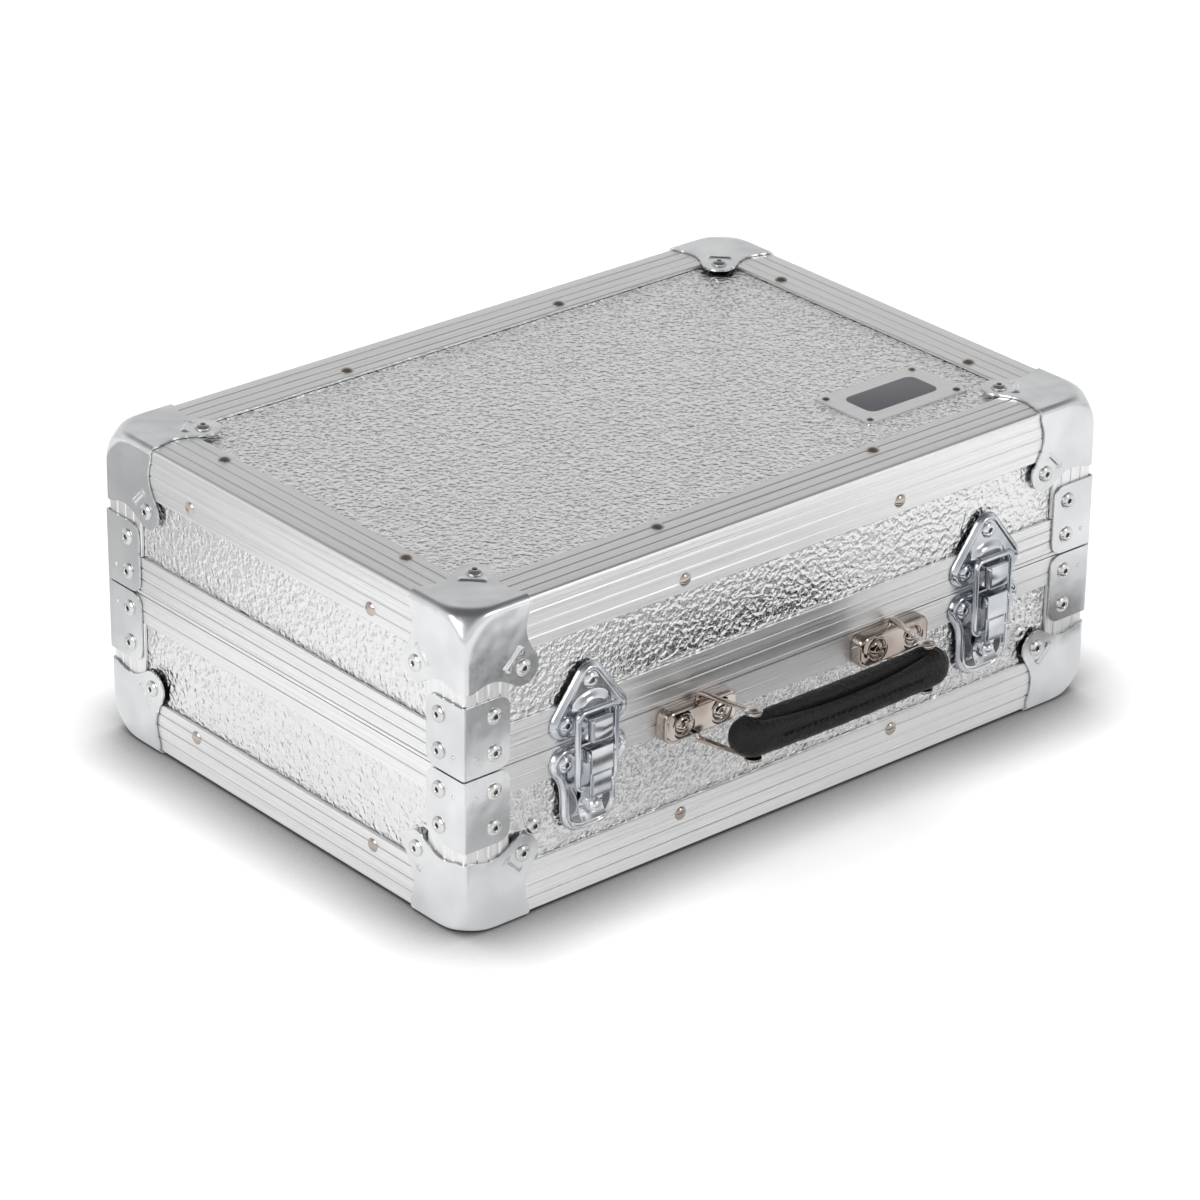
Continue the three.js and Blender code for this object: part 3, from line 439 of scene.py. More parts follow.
# %% Grids, tubes and joined parts
def quads(rows, cols, ring=False):
    """Faces between neighbours in a rows x cols grid; ring joins the last column to the first."""
    r = np.arange(rows - 1)[:, None] * cols
    c = np.arange(cols - (0 if ring else 1))[None, :]
    right = (c + 1) % cols
    return np.stack([r + c, r + right, r + cols + right, r + cols + c], -1).reshape(-1, 4).tolist()


def tube(rows):
    """Rows of closed outlines: sides between neighbours and one face over each end."""
    count, around = rows.shape[:2]
    ends = [list(range(around)), list(range((count - 1) * around, count * around))]
    return rows.reshape(-1, 3), quads(count, around, ring=True) + ends


def joined(*parts):
    """Points one after another, with each part's faces counted on from the points before it."""
    starts = np.cumsum([0] + [len(points) for points, _ in parts])
    faces = [[int(i + start) for i in face] for (_, fs), start in zip(parts, starts) for face in fs]
    return np.concatenate([points for points, _ in parts]), faces


def moved(part, shift=(0, 0, 0), scale=(1, 1, 1), axes=(0, 1, 2)):
    """Reorders the axes, scales or mirrors, then shifts."""
    points, faces = part
    return points[:, list(axes)] * np.array(scale) + np.array(shift), faces


def corners_of(skin, up):
    """The four upright edges of a tray: name, corner point and the signs that lead inwards."""
    return [
        (f"{end}_{side}", np.array([x, y, skin]), np.array([sx, sy, up]))
        for end, y, sy in (("front", FRONT, 1), ("back", BACK, -1))
        for side, x, sx in (("left", LEFT, 1), ("right", RIGHT, -1))
    ]


# %% Outlines: lists of x, y points
def arc(x, y, radius, start, end, steps):
    """Points on a circle from one angle to another, in degrees."""
    turn = np.radians(np.linspace(start, end, steps + 1))
    return np.stack([x + radius * np.cos(turn), y + radius * np.sin(turn)], -1)


def bezier(p0, p1, p2, p3, steps):
    """A cubic curve: each point weighs the four given points by the Bernstein terms."""
    t = np.linspace(0, 1, steps + 1)[:, None]
    weights = [(1 - t) ** 3, 3 * t * (1 - t) ** 2, 3 * t**2 * (1 - t), t**3]
    return sum(weight * np.array(point) for weight, point in zip(weights, (p0, p1, p2, p3)))


def rounded_rectangle(half_x, half_y, radius, steps=8):
    """Four quarter circles."""
    x, y = half_x - radius, half_y - radius
    quarters = [(x, y, 0), (-x, y, 90), (-x, -y, 180), (x, -y, 270)]
    return np.concatenate([arc(cx, cy, radius, turn, turn + 90, steps) for cx, cy, turn in quarters])


def extruded(outline, low, high, axis=2):
    """An outline carried straight along one axis; its own two axes follow in turn."""
    rows = np.stack([np.insert(outline, 2, level, axis=1) for level in (low, high)])
    order = {0: (2, 0, 1), 1: (1, 2, 0), 2: (0, 1, 2)}[axis]
    return tube(rows[..., list(order)])


def edge_distance(x, y, outline):
    """How far each point is from the nearest side of a closed outline."""
    start, end = outline, np.roll(outline, -1, axis=0)
    side = end - start
    length = np.maximum((side**2).sum(-1), 1e-9)
    point = np.stack([x, y], -1)[..., None, :]
    along = np.clip(((point - start) * side).sum(-1) / length, 0, 1)
    return np.sqrt((((start + along[..., None] * side) - point) ** 2).sum(-1)).min(-1)


def mirrored(half):
    """An outline's right side, from its lowest point to its highest, and then the left one back."""
    return np.concatenate([half, half[::-1] * (-1, 1)])


def pressed_plate(outline, height, floor, rows=90, cols=90):
    """A plate with the same shape left and right: height(x, y, d) over its outline, d being the
    way to the edge, with a skirt down to the floor. Rows run from side to side of the outline, and
    points are closer together at the edges, as cosines of even steps."""
    right = outline[outline[:, 0] >= -1e-9]
    right = right[np.argsort(right[:, 1])]
    y = right[0, 1] + (right[-1, 1] - right[0, 1]) * (1 - np.cos(np.linspace(0, np.pi, rows))) / 2
    share = -np.cos(np.linspace(0, np.pi, cols))
    widest = np.array([right[np.isclose(right[:, 1], level), 0].max(initial=0) for level in (y[0], y[-1])])
    width = np.interp(y, right[:, 1], right[:, 0])
    width[[0, -1]] = np.maximum(width[[0, -1]], widest)
    x = width[:, None] * share
    y = np.broadcast_to(y[:, None], x.shape)
    top = np.stack([x, y, height(x, y, edge_distance(x, y, outline))], -1)
    index = np.arange(rows * cols).reshape(rows, cols)
    loop = np.concatenate([index[0, :-1], index[:-1, -1], index[-1, :0:-1], index[:0:-1, 0]])
    points = top.reshape(-1, 3)
    foot = points[loop] * (1, 1, 0) + (0, 0, floor)
    below = len(points) + np.arange(len(loop))
    skirt = np.stack([loop, np.roll(loop, -1), np.roll(below, -1), below], -1).tolist()
    return np.concatenate([points, foot]), quads(rows, cols) + skirt + [below.tolist()]


def rounded_route(points, radius, steps=8):
    """Straight runs whose corners are quarter circles."""
    points = np.array(points, float)
    runs = [points[:1]]
    for before, here, after in zip(points, points[1:], points[2:]):
        back = (before - here) / np.linalg.norm(before - here) * radius
        on = (after - here) / np.linalg.norm(after - here) * radius
        turn = np.linspace(0, np.pi / 2, steps + 1)[:, None]
        runs.append(here + back + on - on * np.cos(turn) - back * np.sin(turn))
    return np.concatenate(runs + [points[-1:]])


def wire(route, level, across, thick, sides=16):
    """An oval section carried along a flat route in x and y: across lies in the route's plane,
    thick stands up from it."""
    along = np.gradient(route, axis=0)
    along /= np.linalg.norm(along, axis=1, keepdims=True)
    turn = np.linspace(0, 2 * np.pi, sides, endpoint=False)
    side = np.stack([-along[:, 1], along[:, 0]], -1)
    across = np.broadcast_to(across, len(route))[:, None, None]
    thick = np.broadcast_to(thick, len(route))[:, None, None]
    flat = route[:, None, :] + side[:, None, :] * across * np.cos(turn)[None, :, None]
    up = level + thick * np.sin(turn)[None, :, None]
    return tube(np.concatenate([flat, up], -1))


# %% From a part to a piece that rides on a body
def piece(name, part, material, body, slot, stands_for=(), wall=0, inside=None, bevel=0, sharp=32):
    """Merges doubles and turns the faces out. wall thickens an open sheet inwards, away from its
    outer face, which is the one turned away from the point inside."""
    points, faces = part
    mesh = bpy.data.meshes.new(name)
    mesh.from_pydata((points * MM).tolist(), [], faces)
    work = bmesh.new()
    work.from_mesh(mesh)
    bmesh.ops.remove_doubles(work, verts=work.verts, dist=2e-6)
    bmesh.ops.recalc_face_normals(work, faces=work.faces)
    if inside is not None:
        core = Vector(inside) * MM
        if sum(face.normal.dot(face.calc_center_median() - core) for face in work.faces) < 0:
            bmesh.ops.reverse_faces(work, faces=work.faces)
    work.to_mesh(mesh)
    work.free()
    mesh.polygons.foreach_set("use_smooth", np.ones(len(mesh.polygons), bool))
    mesh.set_sharp_from_angle(angle=np.radians(sharp))
    mesh.materials.append(material)
    made = put(name, mesh)
    if wall:
        thicken = made.modifiers.new("sheet thickness", "SOLIDIFY")
        adjust(thicken, thickness=wall * MM, offset=-1, use_even_offset=True)
    if bevel:
        soften = made.modifiers.new("broken edge", "BEVEL")
        adjust(soften, width=bevel * MM, segments=2, angle_limit=np.radians(40), harden_normals=True)
    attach(made, body)
    if stands_for:
        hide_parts(*stands_for)
    return made


# %% [markdown]
# ## Edge profiles
# Each edge of a tray is an L of extruded aluminium with a small round along the corner and three
# V grooves along each leg. One outline is extruded along each edge and stops under the ball
# corners; four shorter ones stand in the upright corners.

# %% The L section and its bars
LEG, WALL, NOSE = 24.5, 1.5, 1.8
UNDER_CAP = 30.5


def profile_section():
    """One leg's points, then the same points with their two numbers swapped."""
    grooves = [
        point
        for share in (0.29, 0.54, 0.79)
        for point in ((LEG * share - 0.5, 0), (LEG * share - 0.1, 0.4), (LEG * share + 0.5, 0))
    ]
    leg = [*grooves, (LEG - 0.4, 0), (LEG, 0.4), (LEG, WALL), (WALL, WALL)]
    swapped = [(b, a) for a, b in leg[-2::-1]]
    return np.concatenate([arc(NOSE, NOSE, NOSE, 180, 270, 8), leg, swapped])


section = profile_section()
half_length, half_width = (RIGHT - LEFT) / 2, (BACK - FRONT) / 2
skirts = {"base": 13.8, "lid": 18.5}
for shell, skin, up in SHELLS:
    reach = half_length - UNDER_CAP
    along_x = extruded(section, -reach, reach, axis=0)
    reach = half_width - UNDER_CAP
    along_y = moved(extruded(section, -reach, reach, axis=1), axes=(2, 1, 0))
    upright = extruded(section, UNDER_CAP, DEPTH - skirts[shell] - 0.3, axis=2)
    sides = {
        "front": (along_x, (0, FRONT, skin), (1, 1, up), "x"),
        "back": (along_x, (0, BACK, skin), (1, -1, up), "x"),
        "left": (along_y, (LEFT, MIDDLE, skin), (1, 1, up), "y"),
        "right": (along_y, (RIGHT, MIDDLE, skin), (-1, 1, up), "y"),
    }
    for side, (bar, shift, scale, axis) in sides.items():
        node = f"{shell}_edge_profile_{side}"
        part = moved(bar, shift, scale)
        piece("fine_" + node, part, aluminium[axis], shell, "aluminium_profile", [node], sharp=20)
    for place, origin, scale in corners_of(skin, up):
        node = f"{shell}_corner_profile_{place}"
        part = moved(upright, origin, scale)
        piece("fine_" + node, part, aluminium["z"], shell, "aluminium_profile", [node], sharp=20)
print("profile section points:", len(section))

# %% [markdown]
# ## Ball corners
# A ball corner is one sheet of steel drawn over a ball and folded onto three faces. On each face
# it has a waist, a lobe round its rivet and a short pressed rib. The form is three flat faces
# with tight folds between them, cut by a large ball and blended where they meet. Each face is a
# fan of one outline shrunk towards the corner, whose points slide on a line through the ball's
# centre until they are on the form.

# %% The drawn steel corner
SHEET, SEAT = 1.0, 0.2
PROUD = SHEET + SEAT
REACH = 35.0
LOBE = 31.0
FOLD_ROUND = NOSE + PROUD
BALL_PLACE = 21.0
BALL = (BALL_PLACE + PROUD) * np.sqrt(2)
BLEND = 2.2


def leg_outline():
    """Flat end, waist and lobe, then mirrored over the diagonal."""
    lobe = arc(LOBE, LOBE, 8.4, -40, 45, 12)
    end = np.stack([np.full(8, REACH), np.linspace(-PROUD, 3.3, 8)], -1)
    half = np.concatenate([end, bezier((REACH, 4), (31, 14), (32.5, 17.9), lobe[0], 10)[:-1], lobe])
    return np.concatenate([half, half[-2::-1, ::-1]])


def outside_corner(points):
    """Above zero outside: the larger of the way over the folds and the way over the ball, with a
    blend between the two."""
    over_fold = np.linalg.norm(np.maximum(NOSE - points, 0), axis=-1) - FOLD_ROUND
    over_ball = np.linalg.norm(np.maximum(BALL_PLACE - points, 0), axis=-1) - BALL
    share = np.maximum(BLEND - np.abs(over_fold - over_ball), 0) / BLEND
    return np.maximum(over_fold, over_ball) + share**2 * BLEND / 4


def ball_corner():
    """Three faces of the corner, each a fan of outlines slid onto the form by halving steps."""
    growth = np.concatenate(
        [np.linspace(0, 0.64, 30), np.linspace(0.655, 0.75, 15), np.linspace(0.79, 1, 7)]
    )
    flat = growth[:, None, None] * (leg_outline() + PROUD)[None] - PROUD
    u, v = flat[..., 0], flat[..., 1]
    start = np.stack([u, v, np.full_like(u, -PROUD)], -1)
    core = np.maximum(start, BALL_PLACE)
    out = start - core
    out /= np.linalg.norm(out, axis=-1, keepdims=True)
    near, beyond = np.zeros_like(u), np.full_like(u, BALL)
    for _ in range(30):
        middle = (near + beyond) / 2
        over = outside_corner(core + out * middle[..., None]) > 0
        near, beyond = np.where(over, near, middle), np.where(over, middle, beyond)
    across = (u - v) / np.sqrt(2)
    along = (u + v - 2 * 25.5) / np.sqrt(2)
    away = np.hypot(np.maximum(np.abs(across) - 5.2, 0), along)
    rib = 0.6 * np.clip(1.3 - away, 0, 0.8) / 0.8
    face = core + (near + rib)[..., None] * out
    faces = quads(*u.shape)
    return joined(*[(np.roll(face, turn, axis=-1).reshape(-1, 3), faces) for turn in range(3)])


def sheet_metal(name, part, shell, node, inside):
    """An open sheet with the thickness and the broken edges of the steel."""
    look = {"wall": SHEET, "inside": inside, "bevel": 0.25}
    return piece(name, part, zinc, shell, "zinc_steel", [node], **look)


corner = ball_corner()
for shell, skin, up in SHELLS:
    for place, origin, scale in corners_of(skin, up):
        node = f"{shell}_ball_corner_{place}"
        points, faces = moved(corner, origin, scale)
        points[:, 2] = np.maximum(points[:, 2], BOTTOM - PROUD)
        sheet_metal("drawn_" + node, (points, faces), shell, node, origin + scale * 40)
print("ball corner points:", len(corner[0]))

# %% [markdown]
# ## Corner braces
# Beside the parting line each upright edge has an L plate, folded over the edge with the far
# corners rounded. The sheet is laid out flat, as a width along the fold and a height, and rolled
# round the fold.

# %% The folded brace
BRACE_LEG, BRACE_HEIGHT, FOLD = 24.0, 34.0, 1.5


def brace_sheet():
    """Across runs from one far edge over the fold to the other; the height falls in a quarter
    circle at the far corners."""
    middle = FOLD - PROUD
    half_fold = FOLD * np.pi / 4
    reach = half_fold + BRACE_LEG - middle
    curl = 6 * (1 - np.cos(np.linspace(0, np.pi / 2, 9)))
    side = np.concatenate([reach - curl, np.linspace(reach - 6, half_fold, 6)[1:]])
    across = np.concatenate([-side, np.linspace(-half_fold, half_fold, 7)[1:-1], side[::-1]])
    drawn = np.clip(6 - (reach - np.abs(across)), 0, 6)
    half_height = BRACE_HEIGHT / 2 - 6 + np.sqrt(36 - drawn**2)
    turn = np.radians(225 - 45 * np.clip(across / half_fold, -1, 1))
    past = np.abs(across) - half_fold
    u = middle + FOLD * np.cos(turn) + np.where(across < -half_fold, past, 0)
    v = middle + FOLD * np.sin(turn) + np.where(across > half_fold, past, 0)
    share = np.linspace(-1, 1, 7)[:, None]
    w = DEPTH - SEAT - BRACE_HEIGHT / 2 + share * half_height
    points = np.stack(np.broadcast_arrays(u, v, w), -1)
    return points.reshape(-1, 3), quads(*points.shape[:2])


brace = brace_sheet()
for shell, skin, up in SHELLS:
    for place, origin, scale in corners_of(skin, up):
        node = f"{shell}_corner_brace_{place}"
        part = moved(brace, origin, scale)
        inside = origin + scale * (30, 30, DEPTH - BRACE_HEIGHT / 2)
        sheet_metal("folded_" + node, part, shell, node, inside)

# %% [markdown]
# ## Rivets
# Blind rivets hold the hardware: a domed ring with the broken end of its mandrel down the
# middle, coloured dark partly as dull steel and partly as painted shade of the rivet's hole.
# Plain nickel domes hold the long profiles. One profile is turned round every rivet's
# own axis, all rivets of a body at once.

# %% Rivet profiles and their turning
HOLE = [(0, 0.1), (0.4, 0.05), (0.55, -0.3), (1.0, -0.3), (1.15, 1.2)]
MANDREL = [(0, 0.7), (0.45, 0.65), (0.7, 0.2), (1.05, 0.1), (1.05, -0.35), (0, -0.35)]
BLIND = HOLE + [(1.55, 1.5), (2.3, 1.5), (3.2, 1.15), (3.85, 0.5), (4, -0.4), (0, -0.4)]
SMALL = [(0, 1.1), (0.9, 1.0), (1.7, 0.7), (2.3, 0.2), (2.35, -0.3), (0, -0.3)]
DOME = [(0, 1.35), (1.0, 1.27), (2.0, 0.98), (2.8, 0.52), (3.25, 0.05), (3.25, -0.4), (0, -0.4)]
DIMPLE = [(0, 0.5), (0.5, 0.42), (0.9, 0.2), (1.1, -0.1), (0, -0.1)]
UP = (0, 0, 1)
PANEL_IN = 1.7
BRACE_RIVET, BRACE_RIVETS_DOWN = 15.4, (9.0, 26.2)
DIMPLE_IN, DIMPLE_DOWN = 5.8, 9.2
DOME_IN, DOME_X, DOME_Y = 18.4, 63.3, 64.3


def rivets(profile, centres, axes, sides=20):
    """centre + radius (cos t a + sin t b) + height n, with a and b square to the rivet's axis n.
    One axis may stand for all."""
    radius, height = np.array(profile, float).T
    centres = np.array(centres, float)
    n = np.broadcast_to(np.array(axes, float), centres.shape)
    a = np.cross(n, n[:, [1, 2, 0]])
    b = np.cross(n, a)
    turn = np.linspace(0, 2 * np.pi, sides, endpoint=False)
    spoke = np.cos(turn)[:, None] * a[:, None, None] + np.sin(turn)[:, None] * b[:, None, None]
    out = radius[:, None, None] * spoke
    rings = centres[:, None, None] + out + height[:, None, None] * n[:, None, None]
    one = quads(len(profile), sides, ring=True)
    return joined(*[(ring.reshape(-1, 3), one) for ring in rings])


def shell_rivets(shell, skin, up):
    """Places and axes of the blind rivets of one tray's corners and braces, and of the dimples
    beside them."""
    blind, marks = [], []
    for _, origin, scale in corners_of(skin, up):
        for axis in range(3):
            out = -np.eye(3)[axis]
            if axis == 2 and shell == "base":
                continue
            spot = np.roll([-PROUD, LOBE, LOBE], axis)
            blind.append((origin + scale * spot, scale * out))
        for axis in range(2):
            out = -np.eye(3)[axis]
            for down in BRACE_RIVETS_DOWN:
                spot = np.array([BRACE_RIVET, BRACE_RIVET, DEPTH - down])
                spot[axis] = -PROUD
                blind.append((origin + scale * spot, scale * out))
            spot = np.array([DIMPLE_IN, DIMPLE_IN, DEPTH - DIMPLE_DOWN])
            spot[axis] = -PROUD
            marks.append((origin + scale * spot, scale * out))
    return blind, marks


def shell_domes(skin, up):
    """Two domes along each long leg and two along each short one, on both legs of the profile."""
    domes = []
    for y, sy in ((FRONT, 1), (BACK, -1)):
        for x in (-DOME_X, DOME_X):
            domes.append(((x, y + sy * (DOME_IN + 0.2), skin), (0, 0, -up)))
            domes.append(((x, y, skin + up * DOME_IN), (0, -sy, 0)))
    for x, sx in ((LEFT, 1), (RIGHT, -1)):
        for y in (MIDDLE - DOME_Y, MIDDLE + DOME_Y):
            domes.append(((x + sx * (DOME_IN + 1), y, skin), (0, 0, -up)))
            domes.append(((x, y, skin + up * DOME_IN), (-sx, 0, 0)))
    return domes


for shell, skin, up in SHELLS:
    blind, marks = shell_rivets(shell, skin, up)
    domes = shell_domes(skin, up)
    if shell == "base":
        blind += [((x, FRONT + PANEL_IN, BOTTOM + 40.1), (0, -1, 0)) for x in (-145.4, 145.4)]
        domes = [(spot, out) for spot, out in domes if out[2] == 0]
    heads = joined(rivets(BLIND, *zip(*blind)), rivets(DIMPLE, *zip(*marks), sides=12))
    piece(shell + "_blind_rivets", heads, rivet_zinc, shell, "zinc_steel")
    piece(shell + "_mandrels", rivets(MANDREL, *zip(*blind), sides=12), mandrel_steel_and_hole_shade, shell, "zinc_steel")
    piece(shell + "_dome_rivets", rivets(DOME, *zip(*domes)), nickel, shell, "zinc_steel")
    print(shell, "rivets:", len(blind), "domes:", len(domes))

# %% [markdown]
# ## Badge plate
# A small satin plate is riveted to the lid with four little rivets. It is bare apart from a
# charcoal field with round corners, which is printed, so it is a thin skin on the plate.

# %% Satin plate, its field and its rivets
TRAY_TOP = TOP - PANEL_IN
BADGE_X, BADGE_Y = 113.8, -49.6
charcoal, tree, place = start_material("charcoal printed field")
finish_material(tree, Base_Color=linear("#5d5e62"), Metallic=0.3, Roughness=0.45)


def slab(half_x, half_y, radius, levels):
    """A rounded rectangle through pairs of inset and height."""
    rows = []
    for inset, level in levels:
        outline = rounded_rectangle(half_x - inset, half_y - inset, max(radius - inset, 0.1))
        rows.append(np.insert(outline, 2, level, axis=1))
    return tube(np.stack(rows))


plate = slab(31, 18.5, 1.5, [(0, 0.05), (0, 0.5), (0.25, 0.7)])
field = slab(21.5, 10, 4.5, [(0, 0.6), (0, 0.74), (0.05, 0.76)])
spots = [(BADGE_X + x, BADGE_Y + y, TRAY_TOP + 0.7) for x in (-27, 27) for y in (-14.7, 14.7)]
shift = (BADGE_X, BADGE_Y, TRAY_TOP)
piece("badge_plate", moved(plate, shift), aluminium["x"], "lid", "aluminium_profile")
piece("badge_field", moved(field, shift), charcoal, "lid", "aluminium_profile")
small_heads = [(r * 0.62, h * 0.6) for r, h in DOME]
piece("badge_rivets", rivets(small_heads, spots, UP), nickel, "lid", "zinc_steel")

# %% [markdown]
# ## Draw latches
# The catch plate on the lid and the foot plate on the base are pressed sheets with a broad
# sloping rim and a sunk floor. The catch has a hook block, and a bail of thick wire runs from
# the lever up round it. The lever is a folded channel with a tongue that curls into a finger
# cup, where a domed button sits.

# %% Pressed latch plates
LATCH_APART = 0.6357
latch_spread = half_length * LATCH_APART
CATCH_RIM = [(0, 0.8), (0.35, 1.5), (1.5, 2.7), (2.0, 3.0), (2.4, 3.0), (2.9, 2.6), (3.4, 2.35), (20, 2.35)]
FOOT_RIM = [(0, 0.8), (0.3, 1.5), (1.1, 2.6), (1.7, 3.0), (2.3, 2.9), (3.2, 2.1), (3.8, 1.9), (20, 1.9)]


def by_distance(d, curve):
    """A height read off a list of distance and height."""
    return np.interp(d, *np.array(curve, float).T)


def catch_outline():
    """Two lobes and a pointed arch over them."""
    lean = np.degrees(np.arctan2(13.4, 17.7))
    return mirrored(np.concatenate([arc(13.4, 9.9, 7.9, -90, lean, 16), arc(0, 27.6, 7.9, lean, 90, 12)]))


def foot_outline():
    """A round foot, a waist and two lobes."""
    foot, lobe = arc(4.2, -33, 11, -90, 0, 12), arc(13.4, -9, 7.9, -50, 90, 14)
    waist = bezier(foot[-1], (15.2, -24.2), (15.2, -19.4), lobe[0], 12)[1:-1]
    return mirrored(np.concatenate([foot, waist, lobe]))


def catch_height(x, y, d):
    """The rim, and a shoulder that arches over the bail."""
    shoulder = np.clip(1.25 - np.hypot(x / 9.2, (y - 14.8) / np.where(y > 14.8, 6.2, 9)), 0, 0.55) / 0.55
    return by_distance(d, CATCH_RIM) + 2.2 * shoulder**2 * (3 - 2 * shoulder) * (d > 1.5)


def foot_height(x, y, d):
    """The rim, and a floor sunk well below it."""
    return by_distance(d, FOOT_RIM)


def on_front(part, x):
    """From x, up and out at the parting line to the frame."""
    return moved(part, (x, FRONT, PARTING), (1, -1, 1), (0, 2, 1))


def sideways(outline, half):
    """An outline of out and up, carried along x and back in the order x, up, out."""
    return moved(extruded(outline, -half, half, axis=0), axes=(0, 2, 1))


catch_spots = [(0, 27.4, 2.4), (-13.4, 9.9, 2.4), (13.4, 9.9, 2.4)]
foot_spots = [(-13.4, -9, 2.0), (13.4, -9, 2.0)]
# Hook block of the catch, with a lip that keeps the bail in
block = slab(6, 5.4, 0.9, [(0, 1.2), (0, 9.7), (0.3, 10.5), (1.1, 11.0)])
lip = slab(5.4, 0.9, 0.5, [(0, 9.9), (0, 10.6), (0.35, 10.9)])
catch = joined(
    pressed_plate(catch_outline(), catch_height, SEAT, rows=110),
    moved(block, (0, 7.0, 0)),
    moved(lip, (0, 12.2, 0)),
    rivets(BLIND, catch_spots, UP),
)
ear = np.concatenate([[(1.2, -8.0)], arc(7.5, -5, 3, -90, 90, 10), [(1.2, -2.0)]])
ears = [moved(sideways(ear, 0.6), (x, 0, 0)) for x in (-6.9, 6.9)]
foot = joined(
    pressed_plate(foot_outline(), foot_height, SEAT, rows=110),
    rivets(BLIND, foot_spots, UP),
    *ears,
)
channel = np.array([
    (3.2, -5), (5.5, -1.5), (9.9, -1.5), (10.3, -1.66), (10.5, -2.1), (10.5, -13.2), (9.8, -13.2),
    (9.8, -24.8), (7.4, -25.4), (4.6, -26.5), (3.2, -27.0),
])
tongue = np.array([(9.5, -14.0), (10.0, -13.7), (10.4, -13.8), (10.6, -14.2), (10.6, -24.0), (9.5, -24.2)])
turn = np.radians(np.linspace(118, 238, 19))
spoke = np.stack([np.cos(turn), np.sin(turn)], -1)
middle = np.array([9.8, -31.6])
cup = np.concatenate([middle + 7.0 * spoke, middle + 8.0 * spoke[::-1]])
BUTTON = [(0, 8.0), (1.3, 7.8), (2.5, 7.1), (3.2, 6.1), (3.4, 5.0), (3.4, 2.2), (0, 2.2)]
lever = joined(
    sideways(channel, 6.0),
    sideways(tongue, 4.9),
    sideways(cup, 6.6),
    rivets(BUTTON, [(0, -31.4, 0)], UP, sides=28),
)
PIN_HEAD = [(0, 7.5), (1.6, 7.5), (1.9, 7.2), (1.9, 6.8), (1.2, 6.8)]
PIN = PIN_HEAD + [(1.2, -6.8), (1.9, -6.8), (1.9, -7.2), (0, -7.5)]
pin = rivets(PIN, [(0, -5, 7.5)], (1, 0, 0))
BAIL_HALF, BAIL_LOW, BAIL_HIGH = 10.4, -21, 15.2
bail_half = [(4.4, BAIL_LOW), (BAIL_HALF, BAIL_LOW), (BAIL_HALF, BAIL_HIGH)]
bail_route = bail_half + [(-x, y) for x, y in bail_half[::-1]]
bail = wire(rounded_route(bail_route, 3.2), 6.4, 1.5, 1.5)
for side, x in (("left", -latch_spread), ("right", latch_spread)):
    for name, part, body, node, bevel in (
        ("pressed_catch_", catch, "lid", "latch_catch_plate_", 0),
        ("pressed_foot_", foot, "base", "latch_base_plate_", 0),
        ("folded_lever_", lever, "lever_" + side, "latch_lever_", 0.35),
        ("lever_pin_", pin, "base", "latch_pin_", 0),
        ("wire_bail_", bail, "bail_" + side, "latch_bail_", 0),
    ):
        made = on_front(part, x)
        piece(name + side, made, blue_zinc, body, "zinc_steel", [node + side], bevel=bevel)
for name, shell, spots in (("catch", "lid", catch_spots), ("foot", "base", foot_spots)):
    ends = rivets(MANDREL, spots, UP, sides=12)
    both = joined(on_front(ends, -latch_spread), on_front(ends, latch_spread))
    piece(name + "_mandrels", both, mandrel_steel_and_hole_shade, shell, "zinc_steel")
print("latch points:", sum(len(part[0]) for part in (catch, foot, lever, pin, bail)))

# %% [markdown]
# ## Handle fittings
# Each end of the handle hangs on a nickel-plated housing, pressed with two round seats for its
# rivets. A wire link is held behind it and swings up; its arms are flattened into strips that
# end in eyes above and below the grip, with a small rivet through each.

# %% Housings and links
HANDLE_UP = 66.3 + BOTTOM - PARTING
BRACKETS_APART = 0.3108
bracket_spread = half_length * BRACKETS_APART
TOE_IN, PIN_OUT, LINK_HALF = 6.3, 32.5, 11.2


def housing_height(x, y, d):
    """Steep walls with a round shoulder, and two seats with a raised ring."""
    r = np.hypot(np.abs(x) - 10.85, y)
    seat = np.interp(r, [0, 4.1, 4.7, 5.1, 5.6, 6.4], [-1.25, -1.25, -0.35, 0.12, 0.1, 0])
    return by_distance(d, [(0, 4.6), (0.3, 5.4), (0.8, 6.1), (1.6, 6.6), (30, 6.6)]) + seat


seats = [(-10.85, 0, 5.35), (10.85, 0, 5.35)]
housing = joined(
    pressed_plate(rounded_rectangle(21, 8, 5, 12), housing_height, SEAT, cols=180),
    rivets(BLIND, seats, UP),
)
arm = np.hypot(PIN_OUT - 3.5, TOE_IN)
route = rounded_route([(arm - 3, LINK_HALF), (0, LINK_HALF), (0, -LINK_HALF), (arm - 3, -LINK_HALF)], 2.4)
runs = np.linspace(0, 1, 25)[1:-1, None]
arms = [route[:1] * (1 - runs) + route[1:2] * runs, route[-2:-1] * (1 - runs) + route[-1:] * runs]
route = np.concatenate([route[:1], arms[0], route[1:-1], arms[1], route[-1:]])
flatness = np.clip((route[:, 0] - 5) / 8, 0, 1)
link = wire(route, 0, 1.5 - 0.65 * flatness, 1.5 + 0.25 * flatness)
EYE = [(0, 0.9), (3.3, 0.9), (3.9, 0.6), (4.0, 0), (3.9, -0.6), (3.3, -0.9), (0, -0.9)]
eyes = rivets(EYE, [(arm, LINK_HALF, 0), (arm, -LINK_HALF, 0)], (0, 1, 0), sides=28)
heads = rivets(SMALL, [(arm, LINK_HALF + 0.8, 0), (arm, -LINK_HALF - 0.8, 0)], [(0, 1, 0), (0, -1, 0)])
link = joined(link, eyes, heads)
